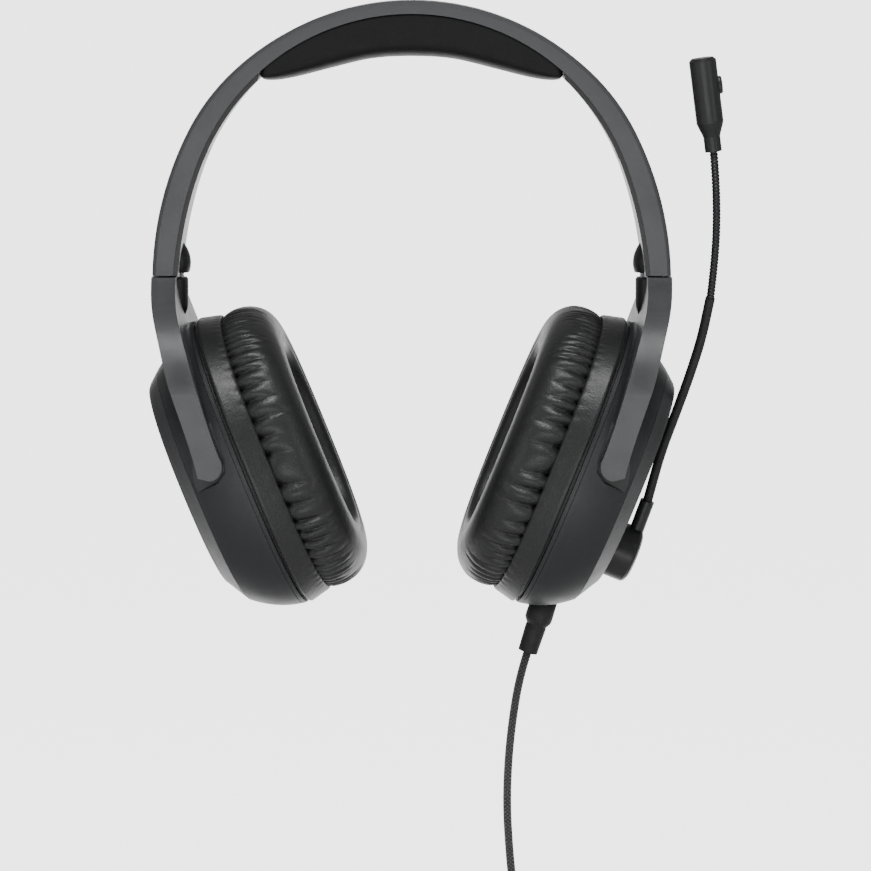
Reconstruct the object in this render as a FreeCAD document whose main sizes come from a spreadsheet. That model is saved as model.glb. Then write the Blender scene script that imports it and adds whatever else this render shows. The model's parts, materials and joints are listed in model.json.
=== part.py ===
"""Wired over-ear gaming headset with a flip-down boom microphone, in millimetres.

Frame: the origin is the middle of the head pad's underside, +Z is up, +X is the wearer's
left and -Y is the way the wearer faces. The microphone and the cable are on the left cup.
"""
import FreeCAD, Part
import math
import os

import Sketcher
from FreeCAD import Placement, Rotation, Vector

os.makedirs("parts", exist_ok=True)
doc = FreeCAD.newDocument("headset")

# ---------------------------------------------------------------- driving dimensions
SIZES = {
    # headband
    "band_depth": 28.0,          # front to back
    "band_crown_top": 17.0,      # outer face above the head pad's underside
    "band_face": 4.25,           # shell thickness at the crown
    "band_end_level": -72.5,     # where the band stops
    "yoke_top": -73.1,           # where the yoke starts
    "liner_thick": 1.6,
    "spring_thick": 0.8,
    "spring_wide": 12.0,
    "wire_diameter": 1.4,
    "pad_depth": 27.0,
    "pad_radius": 120.0,         # curve of the pad's underside
    "pad_half_span": 49.5,
    "pad_plate_thick": 1.4,
    # slider and swivel
    "rail_lean": 8.4,            # degrees from upright
    "rail_travel": 22.0,
    "rail_long": 32.0,
    "rail_wide": 14.0,
    "rail_thick": 1.2,
    "rail_foot_offset": 80.5,
    "swivel_offset": 79.0,       # swivel axis from the middle plane
    "swivel_pin_radius": 1.5,
    "barrel_radius": 5.0,
    "guide_radius": 5.9,
    # yoke
    "yoke_outer_half": 44.5,
    "yoke_arm_thick": 3.2,
    "fork_pin_radius": 2.0,
    "fork_pin_out": 9.0,         # pivot in the cup's own frame: outward of the rim plane
    "fork_pin_up": 11.0,         # and above the cup's middle
    # ear cup
    "cup_tilt": 22.0,            # degrees, lower edges inward
    "cup_offset": 53.2,          # rim centre from the middle plane
    "cup_level": -135.4,         # rim centre height
    "cup_half_tall": 50.2,
    "cup_half_wide": 44.0,
    "cup_roundness": 2.3,        # 2 is an ellipse, more is squarer
    "shell_start": 1.6,
    "shell_end": 17.2,
    "cap_face": 22.0,
    "wall": 2.2,
    "trim_thick": 1.3,
    "cushion_base": 8.6,
    "cushion_crest": 25.2,
    "cushion_half_tall": 48.2,
    "cushion_half_wide": 42.2,
    "ear_hole_half_tall": 29.0,
    "ear_hole_half_wide": 21.0,
    "driver_radius": 20.0,
    "board_tall": 15.0,
    "board_wide": 24.0,
    "board_thick": 1.6,
    # boom microphone
    "hub_drop": 22.0,            # hub axis below the cup's middle
    "hub_radius": 9.5,
    "hub_thick": 9.8,
    "axle_radius": 2.5,
    "socket_radius": 2.4,
    "sleeve_radius": 1.6,
    "neck_radius": 1.35,
    "mic_radius": 4.4,
    "mic_long": 19.4,            # of its full-width body
    # cable
    "cable_diameter": 2.8,
    "coil_radius": 17.0,
    "coil_bundle_radius": 6.4,   # holds 16 turns
    "plug_body_radius": 4.0,
    "plug_pin_radius": 1.75,
    "plug_pin_long": 14.0,
    # fits
    "running_gap": 0.06,
    "free_gap": 0.4,
    "screw_radius": 1.25,
}

sheet = doc.addObject("Spreadsheet::Sheet", "Dims")
for row, (alias, number) in enumerate(SIZES.items(), start=1):
    sheet.set("A%d" % row, alias)
    sheet.set("B%d" % row, str(number))
    sheet.setAlias("B%d" % row, alias)
doc.recompute()


class Size:
    """A length that keeps its value and the sheet expression that it comes from."""

    def __init__(self, value, text):
        self.value = float(value)
        self.text = text

    @staticmethod
    def of(other):
        if isinstance(other, Size):
            return other
        return Size(other, repr(float(other)))

    def joined(self, other, sign, value):
        return Size(value, "(%s %s %s)" % (self.text, sign, other.text))

    def __add__(self, other):
        other = Size.of(other)
        return self.joined(other, "+", self.value + other.value)

    def __sub__(self, other):
        other = Size.of(other)
        return self.joined(other, "-", self.value - other.value)

    def __mul__(self, other):
        other = Size.of(other)
        return self.joined(other, "*", self.value * other.value)

    def __neg__(self):
        return self * -1

    def __float__(self):
        return self.value


def size(alias):
    """The named cell as a bound size."""
    return Size(sheet.get(alias), "Dims." + alias)


def dim(alias):
    """The named cell as a plain number, for shapes set by code."""
    return float(sheet.get(alias))


# ---------------------------------------------------------------- ways to make a piece
sub_parts = []


def bind(item, field, length):
    """Set a property and tie it to the sheet."""
    length = Size.of(length)
    setattr(item, field, length.value)
    item.setExpression(field, length.text)


def keep(item, label, placement=None):
    """Name a finished sub-part, place it and list it for export."""
    item.Label = label
    if placement is not None:
        item.Placement = placement
    sub_parts.append(item)
    return item


def plane_of(body, role):
    return next(item for item in body.Origin.OriginFeatures if item.Role == role)


def outline(body, role, corners):
    """A closed sketch on an origin plane, with each corner tied to the sheet."""
    sketch = body.newObject("Sketcher::SketchObject", body.Name + "_outline")
    sketch.AttachmentSupport = (plane_of(body, role), [""])
    sketch.MapMode = "FlatFace"
    spots = [(Size.of(across), Size.of(up)) for across, up in corners]
    points = [Vector(across.value, up.value, 0) for across, up in spots]
    count = len(points)
    for index in range(count):
        sketch.addGeometry(Part.LineSegment(points[index], points[(index + 1) % count]))
    for index in range(count):
        sketch.addConstraint(Sketcher.Constraint("Coincident", index, 2, (index + 1) % count, 1))
    for index, spot in enumerate(spots):
        for kind, axis, length in (("DistanceX", -2, spot[0]), ("DistanceY", -1, spot[1])):
            if length.value == 0:
                sketch.addConstraint(Sketcher.Constraint("PointOnObject", index, 1, axis))
                continue
            rule = sketch.addConstraint(Sketcher.Constraint(kind, -1, 1, index, 1, length.value))
            sketch.setExpression("Constraints[%d]" % rule, length.text)
    return sketch


def turned(label, corners, placement=None):
    """A solid of revolution about its own Z axis from (radius, height) corners."""
    body = doc.addObject("PartDesign::Body", label)
    sketch = outline(body, "XZ_Plane", corners)
    turn = body.newObject("PartDesign::Revolution", label + "_turn")
    turn.Profile = sketch
    turn.ReferenceAxis = (sketch, ["V_Axis"])
    turn.Angle = 360
    return keep(body, label, placement)


def shaped(label, shape, placement=None):
    """A sub-part whose shape is worked out in code."""
    item = doc.addObject("Part::Feature", label)
    item.Shape = shape
    return keep(item, label, placement)


def cylinder(radius, height, base=Vector(0, 0, 0), axis=Vector(0, 0, 1)):
    return Part.makeCylinder(radius, height, base, axis)


def fused(shapes):
    return shapes[0].multiFuse(shapes[1:]).removeSplitter()


def block(low, high):
    """Box between two opposite corners."""
    spans = [high[axis] - low[axis] for axis in range(3)]
    return Part.makeBox(spans[0], spans[1], spans[2], Vector(*low))


def smooth_edge(points):
    curve = Part.BSplineCurve()
    curve.interpolate([Vector(*point) for point in points])
    return curve.toShape()


# ---------------------------------------------------------------- frames of the two sides
SIDES = {"left": 1, "right": -1}


def cup_frame(side):
    """Placement of a cup: its X is up along the rim, its Z is outward, through the rim centre."""
    lean = math.radians(dim("cup_tilt"))
    up = Vector(side * math.sin(lean), 0, math.cos(lean))
    out = Vector(side * math.cos(lean), 0, -math.sin(lean))
    turn = Rotation(up, out.cross(up), out, "ZXY")
    return Placement(Vector(side * dim("cup_offset"), 0, dim("cup_level")), turn)


def side_frame(side):
    """Placement that mirrors a left-hand piece to its side by half a turn about Z."""
    return Placement(Vector(0, 0, 0), Rotation(Vector(0, 0, 1), 0 if side > 0 else 180))


# ---------------------------------------------------------------- headband
CROWN_OUTER = ((85.4, 43.0), (71.5, 20.0), (109.0, 27.0))     # (radius, turn in degrees)
CROWN_INNER = ((74.4, 48.2), (78.0, 21.8), (132.0, 17.5))


WIRE_AT = 12.2              # the crossover wire's place towards the band's rear edge
CROWN_CHAMFER = 1.3
SPRING_LEVEL = -39.0        # where the spring strip's ends are
LINER_INSET = 0.4           # of each liner edge from the band's edge
PAD_CLEARANCE = 0.4         # between the pad's ends and the liners


def band_line(arcs, start, offset, plane_y):
    """Tangent arcs from the crown down one side, as (points, edges) in an XZ plane."""
    spot = Vector(0, plane_y, start + offset)
    heading = 0.0
    edges = []
    for radius, turn in arcs:
        radius = radius + offset
        centre = spot + Vector(-math.sin(heading), 0, -math.cos(heading)) * radius
        half = heading + math.radians(turn) / 2
        heading = heading + math.radians(turn)
        middle = centre + Vector(math.sin(half), 0, math.cos(half)) * radius
        end = centre + Vector(math.sin(heading), 0, math.cos(heading)) * radius
        edges.append(Part.Arc(spot, middle, end).toShape())
        spot = end
    return edges


def band_arch(arcs, start, offset, plane_y):
    """The whole arch as one chain of edges, right end to left end."""
    left = band_line(arcs, start, offset, plane_y)
    right = [edge.mirror(Vector(0, 0, 0), Vector(1, 0, 0)) for edge in left]
    return Part.Wire(Part.__sortEdges__(right + left))


def arch_solid(outer, inner, depth):
    """Arched bar between two wires, swept through depth in Y from the wires' plane."""
    ends = []
    outer_ends = sorted((outer.Vertexes[0].Point, outer.Vertexes[-1].Point), key=lambda spot: spot.x)
    inner_ends = sorted((inner.Vertexes[0].Point, inner.Vertexes[-1].Point), key=lambda spot: spot.x)
    for first, second in zip(outer_ends, inner_ends):
        ends.append(Part.makeLine(first, second))
    edges = Part.__sortEdges__(outer.Edges + inner.Edges + ends)
    return Part.Face(Part.Wire(edges)).extrude(Vector(0, depth, 0))


def outer_arch(offset, plane_y):
    return band_arch(CROWN_OUTER, dim("band_crown_top"), offset, plane_y)


def inner_arch(offset, plane_y):
    return band_arch(CROWN_INNER, dim("band_crown_top") - dim("band_face"), offset, plane_y)


def inner_bar(high, low, wide, middle_y=0.0):
    """Bar that follows the band's inner face, from offset high down to offset low."""
    plane_y = middle_y - wide / 2
    return arch_solid(inner_arch(high, plane_y), inner_arch(low, plane_y), wide)


def above(level, reach=130.0):
    """Everything above a level."""
    return block((-reach, -reach, level), (reach, reach, reach))


def within(half_span):
    """A slab of that half width about the middle plane."""
    return block((-half_span, -60, -60), (half_span, 60, 60))


def guide_core(side, grow=0.0):
    """Ogive housing at the band's end where the rail comes out."""
    level = dim("band_end_level")
    radius = dim("guide_radius") + grow
    axis_x = side * dim("swivel_offset")
    points = [(radius - 0.5, level + 0.1), (radius, level + 4.0), (radius - 0.9, level + 7.5),
              (radius - 2.6, level + 10.2), (0.0, level + 13.0)]
    rim = smooth_edge([(axis_x + across, 0, up) for across, up in points])
    foot = Part.makeLine(Vector(axis_x, 0, level + 0.1), rim.firstVertex(True).Point)
    spine = Part.makeLine(rim.lastVertex(True).Point, Vector(axis_x, 0, level + 0.1))
    section = Part.Face(Part.Wire(Part.__sortEdges__([foot, rim, spine])))
    return section.revolve(Vector(axis_x, 0, 0), Vector(0, 0, 1), 360)


def inner_half(halves):
    """Of two halves, the one nearer the head."""
    return min(halves.Solids, key=lambda half: abs(half.CenterOfMass.x))


def make_headband():
    depth = dim("band_depth")
    front = -depth / 2
    level = dim("band_end_level")
    shell = arch_solid(outer_arch(0, front), inner_arch(0, front), depth).common(above(level))
    crown_edges = [edge for edge in shell.Edges
                   if edge.CenterOfMass.z > 0 and abs(abs(edge.CenterOfMass.y) - depth / 2) < 0.01
                   and edge.CenterOfMass.z > dim("band_crown_top") - 16 and edge.Length > 20
                   and abs(edge.Curve.Radius - CROWN_OUTER[0][0]) < 0.01]
    shell = shell.makeChamfer(CROWN_CHAMFER, crown_edges)
    spring_room = inner_bar(dim("spring_thick") + 0.1, -0.5, dim("spring_wide") + 0.4)
    shell = shell.cut(spring_room.common(above(SPRING_LEVEL - 1)))
    wire_room = inner_bar(dim("wire_diameter") + 0.2, -0.5, dim("wire_diameter") + 0.4, WIRE_AT)
    shell = shell.cut(wire_room)
    liner = inner_bar(0, -dim("liner_thick"), depth - 2 * LINER_INSET).common(above(level))
    liner = liner.cut(within(dim("pad_half_span") + PAD_CLEARANCE).common(above(-12)))
    for name, side in SIDES.items():
        slot = rail_slot(side)
        guide = inner_half(guide_core(side).common(above(level)).cut(slot))
        holes = headband_screws(side, 3.0)
        shell = shell.cut(slot).cut(guide).cut(holes)
        half = block((0, -60, -90), (130, 60, 60)) if side > 0 else block((-130, -60, -90), (0, 60, 60))
        shaped(name + "_band_liner", liner.common(half).cut(slot).cut(guide).cut(holes))
        shaped(name + "_rail_guide", guide)
    shaped("headband_shell", shell)
    spring = inner_bar(dim("spring_thick"), 0, dim("spring_wide")).common(above(SPRING_LEVEL))
    shaped("headband_spring", spring)
    wire_path = inner_arch(dim("wire_diameter") / 2 + 0.1, WIRE_AT)
    start = wire_path.Edges[0].firstVertex(True).Point
    ring = Part.Wire(Part.makeCircle(dim("wire_diameter") / 2, start,
                                     wire_path.Edges[0].tangentAt(wire_path.Edges[0].FirstParameter)))
    wire = wire_path.makePipeShell([ring], True, False)
    shaped("crossover_wire", wire.common(above(level + 1)))


PLATE_WIDE = 20.0
PLATE_INSET = 6.0           # of the plate's ends from the pad's
PAD_REACH = 60.0            # well above the band, before the pad is trimmed to it


def make_head_pad():
    span = dim("pad_half_span")
    front = -dim("pad_depth") / 2
    under = Part.Arc(Vector(-span, front, -under_drop(span)), Vector(0, front, 0),
                     Vector(span, front, -under_drop(span))).toShape()
    top = inner_arch(-0.05, front)
    lens = Part.Face(Part.Wire([
        under,
        Part.makeLine(Vector(span, front, -under_drop(span)), Vector(span, front, PAD_REACH)),
        Part.makeLine(Vector(span, front, PAD_REACH), Vector(-span, front, PAD_REACH)),
        Part.makeLine(Vector(-span, front, PAD_REACH), Vector(-span, front, -under_drop(span)))]))
    below = arch_solid(top, inner_arch(-40, front), dim("pad_depth"))
    pad = lens.extrude(Vector(0, dim("pad_depth"), 0)).common(below)
    plate_span = within(span - PLATE_INSET)
    plate = inner_bar(-0.05, -dim("pad_plate_thick"), PLATE_WIDE).common(plate_span)
    shaped("pad_plate", plate.common(above(-30)))
    plate_room = inner_bar(1.0, -dim("pad_plate_thick"), PLATE_WIDE).common(plate_span)
    shaped("headband_pad", pad.cut(plate_room))


def under_drop(across):
    """How far the pad's underside falls below its middle."""
    radius = dim("pad_radius")
    return radius - math.sqrt(radius ** 2 - across ** 2)


BAND_SCREW_HEAD = Vector(67.4, 0, -33.0)    # just inside the liner's inner face
BAND_SCREW_RISE = 23.4                      # the band's face leans this far from upright there
BAND_SCREW_SPREAD = 9.5                     # either side of the band's middle line
BAND_SCREW_HEAD_THICK = 0.9


def headband_screws(side, open_end=0.0):
    """Two screws that hold a liner to the shell, or their holes when open_end is not zero."""
    screws = []
    for way in (-1, 1):
        head = cylinder(2.0, BAND_SCREW_HEAD_THICK + open_end, Vector(-open_end, 0, 0), Vector(1, 0, 0))
        shank = cylinder(dim("screw_radius"), 4.6, Vector(BAND_SCREW_HEAD_THICK, 0, 0), Vector(1, 0, 0))
        screw = head.fuse(shank)
        screw.rotate(Vector(0, 0, 0), Vector(0, 1, 0), -BAND_SCREW_RISE)
        screw.translate(BAND_SCREW_HEAD + Vector(0, way * BAND_SCREW_SPREAD, 0))
        if side < 0:
            screw = screw.mirror(Vector(0, 0, 0), Vector(1, 0, 0))
        screws.append(screw)
    return Part.makeCompound(screws)


# ---------------------------------------------------------------- slider and swivel
RAIL_NOTCHES = 9
FOOT_THICK = 1.0            # of the rail's round foot
FOOT_GAP = 0.3              # between the band's end and that foot
FOOT_RADIUS = 3.6
NOTCH_RADIUS = 0.7
FIRST_NOTCH = 6.0           # above the band's end
PIN_LONG = 12.0             # swivel pin, above its head
PIN_HEAD_LONG = 1.2
PIN_HEAD_PROUD = 0.7        # how far the head stands out beyond the pin


def upright_rail(clearance, start):
    """The rail before it leans: thin in X, wide in Y, rising along Z."""
    half_thick = dim("rail_thick") / 2 + clearance
    half_wide = dim("rail_wide") / 2 + clearance
    return block((-half_thick, -half_wide, start), (half_thick, half_wide, dim("rail_long") + clearance))


def leaned(shape, side):
    """Lean a rail shape inward and put its foot at the band's end."""
    shape.rotate(Vector(0, 0, 0), Vector(0, 1, 0), -dim("rail_lean"))
    shape.translate(Vector(dim("rail_foot_offset"), 0, dim("band_end_level")))
    if side < 0:
        shape = shape.mirror(Vector(0, 0, 0), Vector(1, 0, 0))
    return shape


def rail_slot(side):
    return leaned(upright_rail(dim("free_gap"), -3.0), side)


def make_slider(name, side):
    """Notched rail with a round foot, and the pin that the yoke swivels on."""
    level = dim("band_end_level")
    axis_x = side * dim("swivel_offset")
    rail = upright_rail(0.0, -0.35)
    for step in range(RAIL_NOTCHES):
        along = FIRST_NOTCH + step * dim("rail_travel") / (RAIL_NOTCHES - 1)
        for way in (-1, 1):
            notch_base = Vector(-2.0, way * dim("rail_wide") / 2, along)
            rail = rail.cut(cylinder(NOTCH_RADIUS, 4.0, notch_base, Vector(1, 0, 0)))
    foot_base = Vector(axis_x, 0, level - FOOT_GAP - FOOT_THICK)
    shaped(name + "_slider_rail", leaned(rail, side).fuse(cylinder(FOOT_RADIUS, FOOT_THICK, foot_base)))
    radius = size("swivel_pin_radius")
    head = radius + PIN_HEAD_PROUD
    pin_end = -PIN_LONG - PIN_HEAD_LONG
    corners = [(0, 0), (radius, 0), (radius, -PIN_LONG), (head, -PIN_LONG), (head, pin_end), (0, pin_end)]
    turned(name + "_swivel_pin", corners, Placement(foot_base, Rotation()))


# ---------------------------------------------------------------- yoke
ARCH_UNDERSIDE = -89.4      # leaves room for the cup's top edge when it tilts
ARM_CURVE_END = -108.0      # below this level the arms' outer faces are flat
ARM_INNER_CURVE_END = -120.0
FORK_PIN_LONG = 8.0
FORK_PIN_SUNK = 1.6         # how deep the pin goes into the arm
PIN_ROOM_END = 1.5          # free length past the swivel pin's shank


def yoke_front_outline():
    """Front view of the left yoke: stem, bend and arm."""
    top_level = dim("yoke_top")
    inner = smooth_edge([(77.3, 0, top_level), (76.2, 0, -82.0), (73.2, 0, -92.5), (68.6, 0, -108.0),
                         (65.2, 0, -119.0), (61.7, 0, -128.8)])
    outer = smooth_edge([(85.3, 0, top_level), (84.4, 0, -80.5), (81.4, 0, -92.0), (78.2, 0, -104.5),
                         (75.1, 0, -114.0), (68.7, 0, -135.2)])
    top = Part.makeLine(Vector(77.3, 0, top_level), Vector(85.3, 0, top_level))
    end = smooth_edge([(61.7, 0, -128.8), (60.9, 0, -132.2), (62.4, 0, -135.1), (65.2, 0, -136.1)])
    foot = Part.makeLine(Vector(65.2, 0, -136.1), Vector(68.7, 0, -135.2))
    return Part.Face(Part.Wire(Part.__sortEdges__([inner, outer, top, end, foot])))


def yoke_side_outline():
    """Side view of a yoke: an arch from the stem to both arms."""
    wide = dim("yoke_outer_half")
    inside = wide - dim("yoke_arm_thick")
    stem = dim("band_depth") / 2
    top_level = dim("yoke_top")
    outer = [(stem, top_level), (17.0, -75.2), (25.0, -79.4), (34.0, -85.5), (41.0, -95.0),
             (wide, ARM_CURVE_END)]
    inner = [(inside, ARM_INNER_CURVE_END), (39.6, -110.0), (34.5, -101.1), (24.5, -93.8), (12.0, -90.2),
             (0, ARCH_UNDERSIDE)]
    front_outer = smooth_edge([(0, across, up) for across, up in outer])
    back_outer = smooth_edge([(0, -across, up) for across, up in outer])
    inner_points = [(0, across, up) for across, up in inner]
    inner_points += [(0, -across, up) for across, up in reversed(inner[:-1])]
    arch = smooth_edge(inner_points)
    foot = -140.0
    straight = [Part.makeLine(Vector(0, -stem, top_level), Vector(0, stem, top_level))]
    for way in (-1, 1):
        flank = [Vector(0, way * wide, ARM_CURVE_END), Vector(0, way * wide, foot),
                 Vector(0, way * inside, foot), Vector(0, way * inside, ARM_INNER_CURVE_END)]
        straight += [Part.makeLine(start, finish) for start, finish in zip(flank, flank[1:])]
    return Part.Face(Part.Wire(Part.__sortEdges__([front_outer, back_outer, arch] + straight)))


def fork_pin_centre():
    """Fork pivot of the left cup in the headset's frame."""
    return cup_frame(1).multVec(Vector(dim("fork_pin_up"), 0, dim("fork_pin_out")))


def make_yoke(name, side):
    front = yoke_front_outline()
    front.translate(Vector(0, -70, 0))
    yoke = front.extrude(Vector(0, 140, 0))
    arch = yoke_side_outline()
    arch.translate(Vector(40, 0, 0))
    yoke = yoke.common(arch.extrude(Vector(80, 0, 0)))
    axis_x = dim("swivel_offset")
    level = dim("band_end_level")
    pin_top = level - FOOT_GAP - FOOT_THICK
    room_end = Vector(axis_x, 0, pin_top - PIN_LONG - PIN_ROOM_END)
    foot_room = cylinder(FOOT_RADIUS + dim("free_gap"), 4.0, Vector(axis_x, 0, pin_top - 0.3))
    pin_room = cylinder(dim("swivel_pin_radius") + dim("running_gap"), 20, room_end)
    head_room = cylinder(dim("swivel_pin_radius") + PIN_HEAD_PROUD + 0.3, PIN_ROOM_END + 0.2, room_end)
    barrel = barrel_solid()
    yoke = yoke.cut(fused([foot_room, pin_room, head_room])).cut(barrel_solid(0.05))
    centre = fork_pin_centre()
    inside = dim("yoke_outer_half") - dim("yoke_arm_thick")
    pins = []
    for way in (-1, 1):
        pin_base = Vector(centre.x, way * (inside + FORK_PIN_SUNK), centre.z)
        pin = cylinder(dim("fork_pin_radius"), FORK_PIN_LONG, pin_base, Vector(0, -way, 0))
        yoke = yoke.cut(pin)
        pins.append(pin)
    barrel = barrel.cut(fused([foot_room, pin_room, head_room]))
    turn = side_frame(side)
    shaped(name + "_yoke", yoke, turn)
    shaped(name + "_swivel_barrel", barrel, turn)
    shaped(name + "_fork_pins", Part.makeCompound(pins), turn)


BARREL_TOP = -74.0
BARREL_STRAIGHT = 9.5       # length of its round side, above the pointed end
BARREL_LONG = 16.6


def barrel_solid(grow=0.0):
    """Bullet-shaped housing of the swivel pin, on the yoke's inner face."""
    axis_x = dim("swivel_offset")
    radius = dim("barrel_radius") + grow
    top = BARREL_TOP
    points = [(radius, top - BARREL_STRAIGHT), (radius - 0.9, top - 12.2), (radius - 2.3, top - 14.2),
              (0.0, top - BARREL_LONG)]
    curve = smooth_edge([(axis_x + across, 0, up) for across, up in points])
    straight = [
        Part.makeLine(Vector(axis_x, 0, top), Vector(axis_x + radius - 0.5, 0, top)),
        Part.makeLine(Vector(axis_x + radius - 0.5, 0, top), Vector(axis_x + radius, 0, top - 0.6)),
        Part.makeLine(Vector(axis_x + radius, 0, top - 0.6),
                      Vector(axis_x + radius, 0, top - BARREL_STRAIGHT)),
        Part.makeLine(Vector(axis_x, 0, top - BARREL_LONG), Vector(axis_x, 0, top))]
    section = Part.Face(Part.Wire(Part.__sortEdges__([curve] + straight)))
    whole = section.revolve(Vector(axis_x, 0, 0), Vector(0, 0, 1), 360)
    return whole.common(block((60, -20, -100), (axis_x + 2.6, 20, -60)))


# ---------------------------------------------------------------- ear cups
def oval(half_tall, half_wide, out, middle=0.0, roundness=None):
    """Rounded-oval wire in a cup's frame, square to its outward axis."""
    power = 2.0 / (roundness or dim("cup_roundness"))
    points = []
    for step in range(32):
        angle = 2 * math.pi * step / 32
        tall = math.copysign(abs(math.cos(angle)) ** power, math.cos(angle))
        wide = math.copysign(abs(math.sin(angle)) ** power, math.sin(angle))
        points.append(Vector(middle + half_tall * tall, half_wide * wide, out))
    curve = Part.BSplineCurve()
    curve.interpolate(points, PeriodicFlag=True)
    return Part.Wire(curve.toShape())


def lofted(sections, roundness=None):
    """Solid through ovals given as (out, top, bottom, half_wide)."""
    wires = []
    for out, top, bottom, half_wide in sections:
        wires.append(oval((top - bottom) / 2, half_wide, out, (top + bottom) / 2, roundness))
    return Part.makeLoft(wires, True, False)


def prism(half_tall, half_wide, start, end, roundness=None):
    """Straight oval plate between two distances along the outward axis."""
    face = Part.Face(oval(half_tall, half_wide, start, 0.0, roundness))
    return face.extrude(Vector(0, 0, end - start))


def shell_sections(inset=0.0, start=None):
    tall = dim("cup_half_tall")
    wide = dim("cup_half_wide")
    first = dim("shell_start") if start is None else start
    return [(first, tall - 0.6 - inset, -tall + 0.1 + inset, wide - 0.1 - inset),
            (9.0, tall - 4.7 - inset, -tall + 2.3 + inset, wide - 0.8 - inset),
            (dim("shell_end"), tall - 10.0 - inset, -tall + 7.6 + inset, wide - 3.4 - inset)]


SCREW_SPOTS = [(33.0, 24.0), (33.0, -24.0), (-34.0, 24.0), (-34.0, -24.0)]


ARM_FLOOR_GAP = 0.5         # between a yoke arm and the floor of its recess
TUB_WALL = 2.4              # material under the recess
BOSS_RADIUS = 4.4
BOSS_LONG = 7.0
POST_RADIUS = 3.0
POST_LONG = 12.5
PILOT_LONG = 9.0


def recess_floor():
    return dim("yoke_outer_half") - dim("yoke_arm_thick") - ARM_FLOOR_GAP


def arm_recess(way):
    """Pocket in the cup's flank that the yoke's arm lies in."""
    edge = Part.Wire(Part.makePolygon([
        Vector(60, 0, 3.6), Vector(8.5, 0, 3.9), Vector(4.2, 0, 5.4), Vector(1.9, 0, 9.0),
        Vector(1.3, 0, 16.4), Vector(60, 0, 15.0), Vector(60, 0, 3.6)]))
    pocket = Part.Face(edge).extrude(Vector(0, 20, 0))
    pocket.translate(Vector(0, recess_floor(), 0))
    if way < 0:
        pocket = pocket.mirror(Vector(0, 0, 0), Vector(0, 1, 0))
    return pocket


def make_cup_shell(name, frame):
    outer = lofted(shell_sections())
    inner = lofted(shell_sections(dim("wall"), dim("shell_start") - 0.01))
    mid_wall = lofted(shell_sections(dim("wall") / 3))
    shell = outer.cut(inner)
    floor = recess_floor()
    for way in (-1, 1):
        low, high = sorted((way * (floor - TUB_WALL), way * (floor + 2.0)))
        tub = block((-1.5, low, 2.2), (24.0, high, dim("shell_end") - 0.3)).common(mid_wall)
        low = min(way * (floor - BOSS_LONG), way * floor)
        boss = cylinder(BOSS_RADIUS, BOSS_LONG, Vector(dim("fork_pin_up"), low, dim("fork_pin_out")),
                        Vector(0, 1, 0))
        bore = cylinder(dim("fork_pin_radius") + dim("running_gap"), BOSS_LONG + 2.0,
                        Vector(dim("fork_pin_up"), low - 1.0, dim("fork_pin_out")), Vector(0, 1, 0))
        shell = shell.fuse(tub).fuse(boss).cut(arm_recess(way)).cut(bore)
    for up, across in SCREW_SPOTS:
        post = cylinder(POST_RADIUS, POST_LONG, Vector(up, across, dim("shell_start") + 0.3))
        post = post.common(mid_wall)
        pilot = cylinder(dim("screw_radius"), PILOT_LONG, Vector(up, across, dim("shell_start")))
        shell = shell.fuse(post).cut(pilot)
    if name == "left":
        shell = shell.cut(cable_bore())
        axle_bore = cylinder(dim("axle_radius") + dim("running_gap"), 40, Vector(-dim("hub_drop"), 0, 0))
        shell = shell.cut(axle_bore)
    shaped(name + "_cup_shell", shell, frame)


CAP_GAP = 0.1               # between the shell's end and the cap
CAP_EDGE = 0.8              # height of the cap's broad chamfer


def make_cup_cap(name, frame):
    start = dim("shell_end") + CAP_GAP
    last = dim("cap_face")
    tall = dim("cup_half_tall")
    wide = dim("cup_half_wide")
    cap = lofted([(start, tall - 10.1, -tall + 7.8, wide - 3.5),
                  (last - CAP_EDGE, tall - 13.4, -tall + 14.2, wide - 9.4)])
    face = lofted([(last - CAP_EDGE, tall - 13.4, -tall + 14.2, wide - 9.4),
                   (last, tall - 14.4, -tall + 15.4, wide - 10.6)])
    room = lofted([(start - 0.1, tall - 12.4, -tall + 10.0, wide - 5.8),
                   (last - 2.2, tall - 15.6, -tall + 16.4, wide - 11.6)])
    cap = cap.fuse(face).cut(room)
    if name == "left":
        seat = cylinder(dim("axle_radius") + 3.0, 6.0, Vector(-dim("hub_drop"), 0, start))
        seat = seat.common(cap.fuse(room))
        bore = cylinder(dim("axle_radius") + dim("running_gap"), 40, Vector(-dim("hub_drop"), 0, 0))
        cap = cap.fuse(seat).cut(bore)
    shaped(name + "_cup_cap", cap, frame)


TRIM_START = 0.15
HEAD_RADIUS = 2.2           # cup screws
HEAD_THICK = 1.2
MAGNET_RADIUS = 8.9
CLOTH_HALF_TALL = 44.0
CLOTH_HALF_WIDE = 38.2


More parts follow.
